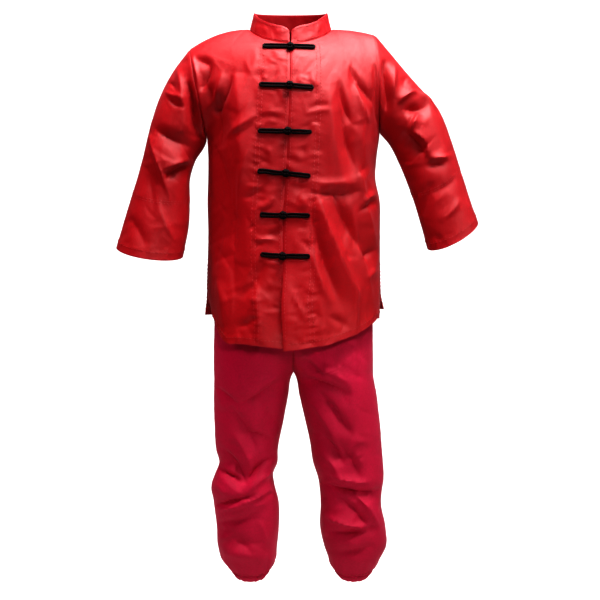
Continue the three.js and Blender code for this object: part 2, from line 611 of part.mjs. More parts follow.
// seam says which points are sewn and stay put: its lowest and highest rows, and its armhole columns.
function addFolds(cloth, folds, fallbackFace, seam) {
  const last = cloth.points.length - 1;
  const armholes = seam.armholes ?? [];
  cloth.points.forEach((row, i) =>
    row.forEach((place, j) => {
      const normal = cloth.normals[i][j];
      const atEdge = i < seam.low || i > last - seam.high || (i > BODY_ROWS && armholes.includes(j));
      const depth = folds.reduce((sum, fold) => {
        const faces = (fold.face ?? fallbackFace) === "front" ? -normal.y : normal.y;
        return sum + foldDepth(fold, place.x, place.z) * softStep(0.1, 0.6, faces);
      }, 0);
      if (!atEdge) place.addScaledVector(normal, depth);
    }),
  );
  cloth.normals = normalsOf(cloth.points, cloth.closed);
  if (cloth.flipped) cloth.normals.forEach((row) => row.forEach((n) => n.negate()));
  return cloth;
}

// Copies of the points on a cloth's border, with where they are in the grid.
function borderOf(cloth) {
  const lastRow = cloth.points.length - 1;
  const lastColumn = cloth.points[0].length - 1;
  const found = [];
  cloth.points.forEach((row, i) =>
    row.forEach((place, j) => {
      const sideEdge = !cloth.closed && (j === 0 || j === lastColumn);
      if (i === 0 || i === lastRow || sideEdge) found.push({ cloth, i, j, place: place.clone() });
    }),
  );
  return found;
}

// Where pieces are sewn together they share their normals, unless the seam is a sharp corner.
function sew(cloths) {
  const border = cloths.flatMap(borderOf);
  const own = new Map(border.map((b) => [b, b.cloth.normals[b.i][b.j].clone()]));
  for (const b of border) {
    const sum = own.get(b).clone();
    for (const other of border) {
      if (other.cloth === b.cloth || other.place.distanceTo(b.place) > SAME_SEAM) continue;
      if (own.get(other).dot(own.get(b)) > -0.3) sum.add(own.get(other));
    }
    b.cloth.normals[b.i][b.j].copy(sum.normalize());
  }
}

// Draws a sewn edge back by half the seam gap, or by more where a fold crosses the seam.
function easeEdge(cloth, edges, more = 0.05) {
  const pull = SEAM_GAP / 2 + more;
  const { points } = cloth;
  const lastRow = points.length - 1;
  const lastColumn = points[0].length - 1;
  const draw = (edge, inner) => edge.addScaledVector(inner.clone().sub(edge).normalize(), pull);
  if (edges.includes("bottom")) points[0].forEach((p, j) => draw(p, points[1][j]));
  if (edges.includes("top")) points[lastRow].forEach((p, j) => draw(p, points[lastRow - 1][j]));
  if (edges.includes("start")) points.forEach((row) => draw(row[0], row[1]));
  if (edges.includes("end")) points.forEach((row) => draw(row[lastColumn], row[lastColumn - 1]));
}

// The solid wall behind a cloth's outer face, with rims along its open edges.
function wallGeometry(cloth, thickness) {
  const { points, normals, closed } = cloth;
  const rows = points.length;
  const columns = points[0].length;
  const positions = [];
  points.forEach((row) => row.forEach((p) => positions.push(p.x, p.y, p.z)));
  points.forEach((row, i) =>
    row.forEach((p, j) => {
      const inner = p.clone().addScaledVector(normals[i][j], -thickness);
      positions.push(inner.x, inner.y, inner.z);
    }),
  );
  const inside = rows * columns;
  const at = (i, j) => i * columns + (j % columns);
  const faces = [];
  const quad = (a, b, c, d) => faces.push(a, b, c, a, c, d);
  const bays = closed ? columns : columns - 1;
  for (let i = 0; i < rows - 1; i += 1) {
    for (let j = 0; j < bays; j += 1) {
      quad(at(i, j), at(i, j + 1), at(i + 1, j + 1), at(i + 1, j));
      quad(inside + at(i, j), inside + at(i + 1, j), inside + at(i + 1, j + 1), inside + at(i, j + 1));
    }
  }
  for (let j = 0; j < bays; j += 1) {
    quad(at(0, j), inside + at(0, j), inside + at(0, j + 1), at(0, j + 1));
    quad(at(rows - 1, j), at(rows - 1, j + 1), inside + at(rows - 1, j + 1), inside + at(rows - 1, j));
  }
  if (!closed) {
    const last = columns - 1;
    for (let i = 0; i < rows - 1; i += 1) {
      quad(at(i, 0), at(i + 1, 0), inside + at(i + 1, 0), inside + at(i, 0));
      quad(at(i, last), inside + at(i, last), inside + at(i + 1, last), at(i + 1, last));
    }
  }
  if (cloth.flipped) {
    for (let k = 0; k < faces.length; k += 3) [faces[k + 1], faces[k + 2]] = [faces[k + 2], faces[k + 1]];
  }
  const geometry = new THREE.BufferGeometry();
  geometry.setAttribute("position", new THREE.Float32BufferAttribute(positions, 3));
  geometry.setIndex(faces);
  geometry.computeVertexNormals();
  return geometry;
}

function meshOf(name, geometry, finish) {
  const { colour, roughness } = finish;
  const material = new THREE.MeshStandardMaterial({ color: colour, roughness, metalness: 0 });
  const mesh = new THREE.Mesh(geometry, material);
  mesh.name = name;
  return mesh;
}

// Solids for joining.
function toSolid(geometry) {
  const bare = geometry.clone();
  bare.deleteAttribute("normal");
  bare.deleteAttribute("uv");
  const merged = mergeVertices(bare, 1e-4);
  return new wasm.Manifold(
    new wasm.Mesh({
      numProp: 3,
      vertProperties: new Float32Array(merged.attributes.position.array),
      triVerts: new Uint32Array(merged.index.array),
    }),
  );
}

function fromSolid(solid) {
  const { vertProperties, triVerts } = solid.getMesh();
  const geometry = new THREE.BufferGeometry();
  geometry.setAttribute("position", new THREE.BufferAttribute(vertProperties, 3));
  geometry.setIndex(new THREE.BufferAttribute(triVerts, 1));
  geometry.computeVertexNormals();
  return geometry;
}

// A closed cord of a round section along points.
function cordGeometry(path, radius, steps) {
  const section = new THREE.Shape(
    upTo(CORD_SIDES).map((k) => {
      const angle = (k / CORD_SIDES) * FULL_TURN;
      return new THREE.Vector2(radius * Math.cos(angle), radius * Math.sin(angle));
    }),
  );
  const curve = new THREE.CatmullRomCurve3(path, false, "centripetal");
  return new THREE.ExtrudeGeometry(section, { extrudePath: curve, steps, bevelEnabled: false });
}

// The point and normal of a front's outer face at (x, z). Where folds hide one another, the foremost.
function onFront(cloth, x, z) {
  const { points, normals } = cloth;
  let best = { slack: -Infinity, y: Infinity };
  const tryTriangle = (corners) => {
    const [a, b, c] = corners.map(([i, j]) => points[i][j]);
    const area = (b.x - a.x) * (c.z - a.z) - (c.x - a.x) * (b.z - a.z);
    const wb = ((x - a.x) * (c.z - a.z) - (c.x - a.x) * (z - a.z)) / area;
    const wc = ((b.x - a.x) * (z - a.z) - (x - a.x) * (b.z - a.z)) / area;
    const slack = Math.min(wb, wc, 1 - wb - wc);
    const y = a.y + (b.y - a.y) * wb + (c.y - a.y) * wc;
    const [inside, bestInside] = [slack > -1e-6, best.slack > -1e-6];
    const better = inside ? !bestInside || y < best.y : !bestInside && slack > best.slack;
    if (better) best = { slack, y, corners, weights: [1 - wb - wc, wb, wc] };
  };
  for (let i = 0; i < points.length - 1; i += 1) {
    for (let j = 0; j < points[0].length - 1; j += 1) {
      tryTriangle([[i, j], [i, j + 1], [i + 1, j + 1]]);
      tryTriangle([[i, j], [i + 1, j + 1], [i + 1, j]]);
    }
  }
  const blend = (grid) => {
    const sum = point(0, 0, 0);
    best.corners.forEach(([i, j], k) => sum.addScaledVector(grid[i][j], best.weights[k]));
    return sum;
  };
  return { place: blend(points), normal: blend(normals).normalize() };
}

// One half of a frog: two cords side by side on a front, from its end to the opening. The right half
// ends in the knot, and the left half in the loop that goes round the knot's neck.
function frogGeometry(cloth, side, frog) {
  const openingX = read(OPENING_LINE, "x", frog.z);
  const sign = signOf(side);
  const length = frog[side];
  const near = side === "right" ? 2 : KNOT_RADIUS + LOOP_REACH;
  const onCloth = (t, offset, height) => {
    const away = mix(length, near, t);
    const z = frog.z + (frog[`${side}Rise`] * away) / length + offset;
    const { place, normal } = onFront(cloth, openingX + sign * away, z);
    return place.addScaledVector(normal, height + FROG_CLEARANCE);
  };
  const shares = upTo(FROG_STEPS + 1).map((k) => k / FROG_STEPS);
  const cord = (offset) => shares.map((t) => onCloth(t, offset, CORD_RADIUS));
  const [upper, lower] = [cord(CORD_SPACING / 2), cord(-CORD_SPACING / 2)];
  if (side === "left") {
    const [from, to] = [lower[FROG_STEPS], upper[FROG_STEPS]];
    const bend = [1, 2, 3].map((k) => {
      const angle = mix(-QUARTER, QUARTER, k / 4);
      const across = from.clone().lerp(to, (1 + Math.sin(angle)) / 2);
      return across.add(point(-LOOP_REACH * Math.cos(angle), 0, 0));
    });
    const path = [...lower, ...bend, ...upper.reverse()];
    return cordGeometry(path, CORD_RADIUS, path.length - 1);
  }
  const knot = new THREE.SphereGeometry(KNOT_RADIUS, 10, 7).rotateX(QUARTER);
  const centre = onCloth(1, 0, KNOT_RADIUS + KNOT_RISE);
  knot.translate(centre.x + near, centre.y, centre.z);
  const cords = [upper, lower].map((path) => toSolid(cordGeometry(path, CORD_RADIUS, FROG_STEPS)));
  return fromSolid(toSolid(knot).add(cords[0]).add(cords[1]));
}

// Assembly.
const towards = (x, y, z) => () => point(x, y, z);
const away = (place) => point(place.x, place.y, 0);

const frontRight = addFolds(
  facing(makeCloth("jacket_front_right", frontGrid("right")), towards(0, -1, 0)),
  FRONT_RIGHT_FOLDS,
  "front",
  { low: 0, high: 1, armholes: [FRONT_COLUMNS] },
);
const frontLeft = addFolds(
  facing(makeCloth("jacket_front_left", frontGrid("left")), towards(0, -1, 0)),
  FRONT_LEFT_FOLDS,
  "front",
  { low: 0, high: 1, armholes: [FRONT_COLUMNS] },
);
const back = addFolds(facing(makeCloth("jacket_back", backGrid()), towards(0, 1, 0)), BACK_FOLDS, "back", {
  low: 0,
  high: 1,
  armholes: [0, 2 * FRONT_COLUMNS],
});
const sleeveRight = addFolds(
  facing(makeCloth("sleeve_right", sleeveGrid("right"), true)),
  SLEEVE_RIGHT_FOLDS,
  "front",
  { low: 1, high: 0 },
);
const sleeveLeft = addFolds(
  facing(makeCloth("sleeve_left", sleeveGrid("left"), true)),
  SLEEVE_LEFT_FOLDS,
  "front",
  { low: 1, high: 0 },
);
const collar = facing(makeCloth("collar", collarGrid()), away);

const legs = {};
for (const side of ["right", "left"]) {
  const folds = side === "right" ? LEG_RIGHT_FOLDS : LEG_LEFT_FOLDS;
  for (const face of ["front", "back"]) {
    const cloth = makeCloth(`trouser_${side}_${face}`, legGrid(side, face));
    facing(cloth, towards(0, face === "front" ? -1 : 1, 0));
    legs[`${side}_${face}`] = addFolds(cloth, folds, face, { low: 2, high: 2 });
  }
}

const bands = [];
for (const side of ["right", "left"]) {
  const ring = ringOf(legs[`${side}_front`].points[0], legs[`${side}_back`].points[0]);
  const centre = ring.reduce((sum, p) => sum.add(p), point(0, 0, 0)).divideScalar(ring.length);
  const cuff = makeCloth(
    `ankle_cuff_${side}`,
    bandGrid(ring, 2, (place, t) => {
      const drawn = 1 - ((1 - t) * CUFF.taper) / place.distanceTo(centre);
      place.sub(centre).multiplyScalar(drawn).add(centre);
      place.z -= (1 - t) * CUFF.height;
      return place;
    }),
    true,
  );
  bands.push(facing(cuff));
}
const top = legHeights.length - 1;
const waistRing = [
  ...legs.right_front.points[top],
  ...legs.right_back.points[top].slice(0, -1).reverse(),
  ...legs.left_back.points[top].slice(1),
  ...legs.left_front.points[top].slice(1, -1).reverse(),
];
const waistband = makeCloth(
  "waistband",
  bandGrid(waistRing, 2, (place, t) => {
    place.z += t * WAISTBAND_HEIGHT;
    return place;
  }),
  true,
);
bands.push(facing(waistband));

const jacketCloths = [frontRight, frontLeft, back, sleeveRight, sleeveLeft];
const trouserCloths = [...Object.values(legs), ...bands];
sew(jacketCloths);
sew(trouserCloths);

easeEdge(frontRight, ["start", "end", "top"]);
easeEdge(frontLeft, ["start", "end", "top"]);
easeEdge(back, ["start", "end", "top"]);
easeEdge(sleeveRight, ["bottom"], 0.25);
easeEdge(sleeveLeft, ["bottom"], 0.25);
Object.values(legs).forEach((leg) => easeEdge(leg, ["start", "end", "top", "bottom"]));
bands.forEach((band) => easeEdge(band, band === waistband ? ["bottom"] : ["top"]));

const uniform = new THREE.Group();
jacketCloths.forEach((cloth) => uniform.add(meshOf(cloth.name, wallGeometry(cloth, WALL), JACKET_RED)));
uniform.add(meshOf(collar.name, wallGeometry(collar, COLLAR_WALL), JACKET_RED));
trouserCloths.forEach((cloth) => uniform.add(meshOf(cloth.name, wallGeometry(cloth, WALL), TROUSER_RED)));
FROGS.forEach((frog, k) => {
  uniform.add(meshOf(`frog_${k + 1}_knot`, frogGeometry(frontRight, "right", frog), BLACK_CORD));
  uniform.add(meshOf(`frog_${k + 1}_loop`, frogGeometry(frontLeft, "left", frog), BLACK_CORD));
});

export default uniform;
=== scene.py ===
"""Dresses a child's tai chi uniform, filled out as if worn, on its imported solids.

The tables are in millimetres in the part's frame: +Z up, the wearer faces -Y, and the wearer's left is
+X. Each cloth is a grid of points on its outer face, whose rows run up the piece and columns across it.
It gets its creases, puckers and hems there, and becomes a thin shell.
"""

import logging
import math
from dataclasses import dataclass, field
from enum import Enum
from typing import Iterable, Optional, Sequence

import bpy
import numpy as np
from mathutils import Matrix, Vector
from mathutils.bvhtree import BVHTree


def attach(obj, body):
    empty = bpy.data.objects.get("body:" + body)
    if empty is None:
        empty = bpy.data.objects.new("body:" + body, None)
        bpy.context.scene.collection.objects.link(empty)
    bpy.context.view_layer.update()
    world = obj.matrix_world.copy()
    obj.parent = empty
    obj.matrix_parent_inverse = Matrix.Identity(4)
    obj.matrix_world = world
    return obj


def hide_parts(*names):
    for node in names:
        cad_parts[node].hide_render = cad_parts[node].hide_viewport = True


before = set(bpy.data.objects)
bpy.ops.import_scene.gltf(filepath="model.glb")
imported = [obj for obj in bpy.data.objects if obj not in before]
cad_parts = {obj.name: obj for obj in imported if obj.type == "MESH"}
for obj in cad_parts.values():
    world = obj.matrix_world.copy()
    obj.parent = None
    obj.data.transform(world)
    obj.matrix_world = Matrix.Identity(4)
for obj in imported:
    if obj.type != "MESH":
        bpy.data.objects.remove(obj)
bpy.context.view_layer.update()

LOG = logging.getLogger("uniform")
Array = np.ndarray
Triple = tuple[float, float, float]
QUARTER = math.pi / 2
TO_METRES = 0.001
FOLD_SPREAD = 1.15  # how far past its width a fold fades out
CREASE_WIDTH = 7.5  # of the sharp line along a fold
CREASE_SHARE = 0.24  # how much that line adds to a crisp fold
SEAM_MERGE = 1e-6  # metres, where a grid's two side edges meet
TIP_MERGE = 4e-5  # metres, where a cord's tip closes
CORD_SIDES = 9
RIM_ANGLE = math.radians(55)  # edges sharper than this are rounded
SMOOTH_ANGLE = math.radians(60)  # and edges softer than this are shaded smooth
SEAM_REACH = 12  # how far from a seam folds fade
SHOULDER_REACH = 14
FACING = (0.12, 0.6)  # how squarely cloth looks to the front or back where that face's folds fade in


class Side(Enum):
    """A side of the wearer."""

    RIGHT = "right"
    LEFT = "left"

    @property
    def sign(self) -> int:
        """-1 on the wearer's right and 1 on the left."""
        return -1 if self is Side.RIGHT else 1


class Face(Enum):
    """The front or the back of the wearer."""

    FRONT = "front"
    BACK = "back"

    @property
    def sign(self) -> int:
        """-1 for the front and 1 for the back, as along Y."""
        return -1 if self is Face.FRONT else 1


class Edge(Enum):
    """An edge of a cloth's grid."""

    LOW = "low"
    HIGH = "high"
    START = "start"
    END = "end"


# Curves and noise


def smooth_step(low: float, high: float, value: Array) -> Array:
    """Steps softly from 0 at low to 1 at high.

    Args:
        low: Where the step begins.
        high: Where it ends, which may be below low.
        value: What is read.

    Returns:
        The share of the step, from 0 to 1.
    """
    share = np.clip((value - low) / (high - low), 0, 1)
    return share * share * (3 - 2 * share)


def hermite(start: Array, start_slope: Array, end: Array, end_slope: Array, t: Array) -> Array:
    """Reads a cubic between two values with given slopes.

    Args:
        start: Value at t 0.
        start_slope: Slope at t 0.
        end: Value at t 1.
        end_slope: Slope at t 1.
        t: Share of the way.

    Returns:
        The cubic's value at t.
    """
    t2, t3 = t * t, t * t * t
    ends = (2 * t3 - 3 * t2 + 1) * start + (3 * t2 - 2 * t3) * end
    return ends + (t3 - 2 * t2 + t) * start_slope + (t3 - t2) * end_slope


def curve_through(at: Sequence[float], values: Array, query: Array) -> Array:
    """Reads a smooth curve through knots.

    Args:
        at: Where the knots are, in rising order.
        values: One value, or array of values, for each knot.
        query: Where the curve is read.

    Returns:
        The curve's values, one for each place in query.
    """
    at, values, query = np.asarray(at, float), np.asarray(values, float), np.asarray(query, float)
    more = (1,) * (values.ndim - 1)
    steps = np.diff(at).reshape(-1, *more)
    bays = np.diff(values, axis=0) / steps
    slopes = np.concatenate([bays[:1], bays[:1], bays[1:]])[: len(values)].copy()
    slopes[0], slopes[-1] = bays[0], bays[-1]
    slopes[1:-1] = (bays[1:] * steps[:-1] + bays[:-1] * steps[1:]) / (steps[:-1] + steps[1:])
    i = np.clip(np.searchsorted(at, query, side="left") - 1, 0, len(at) - 2)
    t = np.clip((query - at[i]) / np.diff(at)[i], 0, 1).reshape(query.shape + more)
    return hermite(values[i], steps[i] * slopes[i], values[i + 1], steps[i] * slopes[i + 1], t)


@dataclass(frozen=True)
class Table:
    """Named columns of numbers, read by their first column."""

    columns: tuple[str, ...]
    rows: tuple[tuple[float, ...], ...]

    def read(self, column: str, at: Array) -> Array:
        """Reads a column where the first column is at."""
        rows = np.array(self.rows, float)
        flat = curve_through(rows[:, 0], rows[:, self.columns.index(column)], np.ravel(at))
        return flat.reshape(np.shape(at))

    def joined(self, other: "Table") -> "Table":
        """This table with the rows of another after its own."""
        return Table(self.columns, self.rows + other.rows)


def crumple(points: Array, length: float, seed: int, stretch: Triple = (1, 1, 1)) -> Array:
    """Random soft hills, which carry on across a seam because they are read from the place alone.

    Args:
        points: Places, in millimetres.
        length: Rough length of a hill and a hollow together.
        seed: Picks the hills.
        stretch: How much longer they are along each axis.

    Returns:
        Heights from about -1 to 1.
    """
    rng = np.random.default_rng(seed)
    place = points / (length * np.array(stretch))
    total, bend = np.zeros(points.shape[:-1]), np.zeros(points.shape[:-1])
    # Eight waves run in random directions, each bent by those before it.
    for _ in range(8):
        way = rng.normal(size=3)
        way *= 2 * math.pi * rng.uniform(0.55, 1.5) / np.linalg.norm(way)
        wave = np.sin(place @ way + rng.uniform(0, 6.3) + 1.3 * bend)
        total += wave
        bend = 0.5 * bend + 0.7 * wave
    return total / 4


def unit(vectors: Array) -> Array:
    """Vectors of the same directions and length 1."""
    return vectors / np.maximum(np.linalg.norm(vectors, axis=-1, keepdims=True), 1e-9)


def along_path(path: Array, count: int) -> Array:
    """A path's points laid out again at even distances.

    Args:
        path: Points, one row each, of any width.
        count: How many points to return.

    Returns:
        The new points.
    """
    steps = np.linalg.norm(np.diff(path[:, :3], axis=0), axis=1)
    length = np.concatenate([[0], np.cumsum(steps)])
    at = np.linspace(0, length[-1], count)
    return np.stack([np.interp(at, length, path[:, k]) for k in range(path.shape[1])], axis=1)


# Cloth


@dataclass(frozen=True)
class Fold:
    """A trough (depth below 0) or ridge along a bowed line in the front view."""

    x1: float
    z1: float
    x2: float
    z2: float
    width: float
    depth: float
    bow: float = 0.0  # how far its middle lies to the left of the straight line
    crisp: float = 0.35  # 0 for a soft swell and 1 for a sharp crease
    lean: float = 0.0  # above 0 its left side is the steeper one, and below 0 its right

    def depth_at(self, x: Array, z: Array) -> Array:
        """How far the fold lifts the cloth.

        Args:
            x: Places across.
            z: Heights.

        Returns:
            The lift at each place.
        """
        dx, dz = self.x2 - self.x1, self.z2 - self.z1
        length = math.hypot(dx, dz)
        t = ((x - self.x1) * dx + (z - self.z1) * dz) / length**2
        off = ((x - self.x1) * -dz + (z - self.z1) * dx) / length
        inside = np.clip(t, 0, 1)
        off = off - self.bow * 4 * inside * (1 - inside)
        # It widens along its way, and is narrower on its steeper side.
        spread = FOLD_SPREAD * self.width * (0.7 + 0.5 * inside) * (1 - self.lean * np.tanh(off / 2))
        from_line = np.hypot(off, (t - inside) * length)
        away = np.clip(from_line / spread, 0, 1)
        line = CREASE_SHARE * self.crisp * np.clip(1 - from_line / CREASE_WIDTH, 0, 1) ** 1.5
        # It is deepest halfway and fades to an eighth of that at its ends.
        taper = 0.12 + 0.88 * np.sin(math.pi * inside) ** 0.8
        return self.depth * ((1 - away ** (1.6 - 0.7 * self.crisp)) ** 2 + line) * taper


def folds(*rows: Sequence[float]) -> tuple[Fold, ...]:
    """Folds from rows of their numbers, in the order of a fold's fields."""
    return tuple(Fold(*row) for row in rows)


@dataclass(frozen=True)
class Crumples:
    """Small sharp creases strewn over a part of the front view, more of them along one direction."""

    low: tuple[float, float]  # across and up, as high is
    high: tuple[float, float]
    count: int
    seed: int
    along: float = 0.0  # degrees up from across
    spread: float = 55.0  # degrees to either side
    size: tuple[float, float] = (16.0, 60.0)
    depth: float = 1.5
    width: tuple[float, float] = (5, 8)
    crisp: float = 0.85

    def folds(self) -> list[Fold]:
        """The creases."""
        rng = np.random.default_rng(self.seed)
        made = []
        for _ in range(self.count):
            x, z = (a + (b - a) * rng.random() for a, b in zip(self.low, self.high))
            angle = math.radians(self.along + rng.normal() * self.spread)
            half = rng.uniform(*self.size) / 2
            depth = self.depth * rng.uniform(0.35, 1) * rng.choice((-1, 1))
            dx, dz = half * math.cos(angle), half * math.sin(angle)
            width = rng.uniform(*self.width) + 0.2 * half
            bow, lean = rng.normal() * 0.12 * half, rng.uniform(-0.4, 0.4)
            made.append(Fold(x - dx, z - dz, x + dx, z + dz, width, depth, bow, self.crisp, lean))
        return made


Still = dict[Edge, float]


@dataclass
class Cloth:
    """A cut piece of cloth, as a grid of points on its outer face."""

    name: str
    points: Array
    outward: Optional[Triple] = None
    closed: bool = False
    wear: Array = field(init=False)
    normals: Array = field(init=False)
    turned: bool = field(init=False, default=False)

    def __post_init__(self) -> None:
        """Finds which way the cloth faces."""
        self._find_normals()
        row = len(self.points) // 2
        way = np.array(self.outward or (0, 0, 0)) + 0 * self.points[row]
        if self.outward is None:
            way = self.points[row] - self.points[row].mean(axis=0)
        self.turned = float((self.normals[row] * way).sum()) < 0
        self._find_normals()
        self.wear = np.zeros(self.points.shape[:2])

    def _find_normals(self) -> None:
        """Works out the outer face's normals."""
        if self.closed:
            across = np.roll(self.points, -1, axis=1) - np.roll(self.points, 1, axis=1)
        else:
            across = np.gradient(self.points, axis=1)
        normals = unit(np.cross(across, np.gradient(self.points, axis=0)))
        self.normals = -normals if self.turned else normals

    def lift(self, amount: Array) -> None:
        """Moves the cloth along its normals by an amount at each point."""
        self.points = self.points + self.normals * amount[..., None]
        self._find_normals()

    def distance_from(self, edge: Edge) -> Array:
        """Length along the cloth from an edge to each point."""
        axis = 0 if edge in (Edge.LOW, Edge.HIGH) else 1
        steps = np.linalg.norm(np.diff(self.points, axis=axis), axis=2)
        pad = ((1, 0), (0, 0)) if axis == 0 else ((0, 0), (1, 0))
        total = np.pad(np.cumsum(steps, axis=axis), pad)
        if edge in (Edge.HIGH, Edge.END):
            total = np.take(total, [-1], axis=axis) - total
        return total

    def fold(self, pressed: dict[Face, Iterable[Fold]], still: Still, strength: float = 1.0) -> None:
        """Presses folds into the cloth.

        Args:
            pressed: The folds on each face.
            still: Edges that stay where they are, and how far in the folds fade from them.
            strength: What their depths are multiplied by.
        """
        amount = np.zeros(self.points.shape[:2])
        for face, folds_on_it in pressed.items():
            seen = smooth_step(*FACING, self.normals[..., 1] * face.sign)
            for one in folds_on_it:
                amount += one.depth_at(self.points[..., 0], self.points[..., 2]) * seen
        self.lift(strength * amount * self._keep(still))

    def strew(self, face: Face, still: Still, *creases: Crumples) -> None:
        """Presses strewn creases into a face, one lot after another."""
        for one in creases:
            self.fold({face: one.folds()}, still)

    def _keep(self, still: Still) -> Array:
        """How freely each point may move: 0 on the edges that stay still, and 1 past their reach."""
        keep = np.ones(self.points.shape[:2])
        for edge, reach in still.items():
            keep = keep * smooth_step(0, reach, self.distance_from(edge))
        return keep

    def ripple(self, height: float, length: float, seed: int, still: Still,
               stretch: Triple = (1, 1, 1)) -> None:
        """Adds random soft unevenness."""
        self.lift(height * crumple(self.points, length, seed, stretch) * self._keep(still))

    def roughen(self, seed: int, still: Still) -> None:
        """Adds the fine unevenness of washed cloth."""
        self.ripple(0.13, 13, seed, still)

    def rub(self, edge: Edge, amount: float, reach: float) -> None:
        """Lightens the cloth at an edge, as wear does."""
        self.wear = np.maximum(self.wear, amount * np.exp(-self.distance_from(edge) / reach))

    def _along(self, edge: Edge) -> Array:
        """How far along an edge each point lies."""
        return self.distance_from(Edge.LOW if edge in (Edge.START, Edge.END) else Edge.START)

    def sew(self, edge: Edge, roll: float = 0.9, reach: float = 4.0, gap: float = 0.18) -> None:
        """Rolls a sewn edge in, and draws it back by half the seam's gap.

        Args:
            edge: The edge.
            roll: How deep the seam lies.
            reach: How wide the rolled strip is.
            gap: How far the edge is drawn back.
        """
        away = self.distance_from(edge)
        along = self._along(edge)
        wave = np.sin(along / 2.8 + 2 * np.sin(along / 17))
        pucker = 0.2 * min(roll, 1) * wave * np.exp(-((away / 7) ** 2))
        first, second = {
            Edge.LOW: (np.s_[0], np.s_[1]),
            Edge.HIGH: (np.s_[-1], np.s_[-2]),
            Edge.START: (np.s_[:, 0], np.s_[:, 1]),
            Edge.END: (np.s_[:, -1], np.s_[:, -2]),
        }[edge]
        self.lift(pucker * smooth_step(0, 4, away) - roll * (1 - smooth_step(0, reach, away)))
        self.points[first] += unit(self.points[second] - self.points[first]) * gap

    def hem(self, edge: Edge, depth: float = 14.0, raised: float = 0.55) -> None:
        """Thickens a turned-up hem, with a fine pucker on its seam, and lightens its worn edge."""
        away = self.distance_from(edge)
        along = self._along(edge)
        wave = np.sin(along / 3.1 + 3 * np.sin(along / 23))
        pucker = 0.3 * wave * np.exp(-(((away - depth) / 6) ** 2))
        self.rub(edge, 1, 3.5)
        self.lift(raised * (1 - smooth_step(depth - 1.5, depth + 2, away)) + pucker)

    def pucker(self, edge: Edge, distance: float, depth: float, pitch: float, width: float) -> None:
        """Draws the cloth up along a line of stitches beside an edge."""
        off = self.distance_from(edge) - distance
        along = self._along(edge)
        turn = 2 * math.pi * along / pitch
        wave = np.sin(turn + 1.7 * np.sin(along / 31)) + 0.6 * np.sin(1.73 * turn + 2.1 * np.sin(along / 19))
        strength = 0.55 + 0.45 * np.sin(along / 47 + 1)
        self.lift(depth * wave * strength * np.exp(-((off / width) ** 2)))

    def line(self, edge: Edge, distance: float, start: float = 0.0, end: float = 1.0) -> Array:
        """A line beside an edge.

        Args:
            edge: The edge that it follows.
            distance: How far from the edge.
            start: Where it begins, as a share of the edge.
            end: Where it ends.

        Returns:
            Its points with their normals, six numbers a row.
        """
        away = self.distance_from(edge)
        both = np.concatenate([self.points, self.normals], axis=2)
        if edge in (Edge.LOW, Edge.HIGH):
            away, both = away.T, both.transpose(1, 0, 2)
        if edge in (Edge.HIGH, Edge.END):
            away, both = away[:, ::-1], both[:, ::-1]
        first, last = int(start * (len(away) - 1)), int(end * (len(away) - 1)) + 1
        return np.array(
            [[np.interp(distance, away[i], both[i, :, k]) for k in range(6)] for i in range(first, last)]
        )

    def tree(self) -> BVHTree:
        """A search tree of the outer face, in millimetres."""
        rows, columns = self.points.shape[:2]
        index = np.arange(rows * columns).reshape(rows, columns)
        quads = np.stack([index[:-1, :-1], index[:-1, 1:], index[1:, 1:], index[1:, :-1]], axis=-1)
        return BVHTree.FromPolygons(self.points.reshape(-1, 3).tolist(), quads.reshape(-1, 4).tolist())

    def build(self, wall: float, finish: bpy.types.Material, round_rim: float = 0.0) -> bpy.types.Object:
        """Makes the piece's shell.

        Args:
            wall: The cloth's thickness.
            finish: Its material.
            round_rim: Radius of the rounding of its rims, or 0.

        Returns:
            The finished object.
        """
        points, wear = self.points, self.wear
        across, up = self.distance_from(Edge.START), self.distance_from(Edge.LOW)
        if self.closed:
            last = across[:, -1:] + np.linalg.norm(points[:, :1] - points[:, -1:], axis=2)
            points, wear = (np.concatenate([a, a[:, :1]], axis=1) for a in (points, wear))
            across, up = np.concatenate([across, last], axis=1), np.concatenate([up, up[:, :1]], axis=1)
        across = across - across[:, points.shape[1] // 2, None]
        piece = grid_object(self.name, points * TO_METRES, np.stack([across, up], axis=2) * TO_METRES)
        attribute = piece.data.attributes.new("wear", "FLOAT", "POINT")
        attribute.data.foreach_set("value", np.ravel(wear).astype(np.float32))
        # A grid faces the way its columns turn into its rows.
        edit(piece, merge=SEAM_MERGE if self.closed else None, flip=self.turned)
        solidify = piece.modifiers.new("wall", "SOLIDIFY")
        solidify.thickness = wall * TO_METRES
        solidify.offset = -1
        bpy.ops.object.modifier_apply(modifier="wall")
        if round_rim:
            bevel = piece.modifiers.new("rim", "BEVEL")
            bevel.width, bevel.segments = round_rim * TO_METRES, 2
            bevel.limit_method, bevel.angle_limit = "ANGLE", RIM_ANGLE
            bpy.ops.object.modifier_apply(modifier="rim")
        bpy.ops.object.shade_smooth_by_angle(angle=SMOOTH_ANGLE)
        piece.data.materials.append(finish)
        return piece


def closed_line(cloth: Cloth, edge: Edge, distance: float) -> Array:
    """A line all the way round a tube of cloth, beside an edge."""
    line = cloth.line(edge, distance)
    return np.concatenate([line, line[:1]])


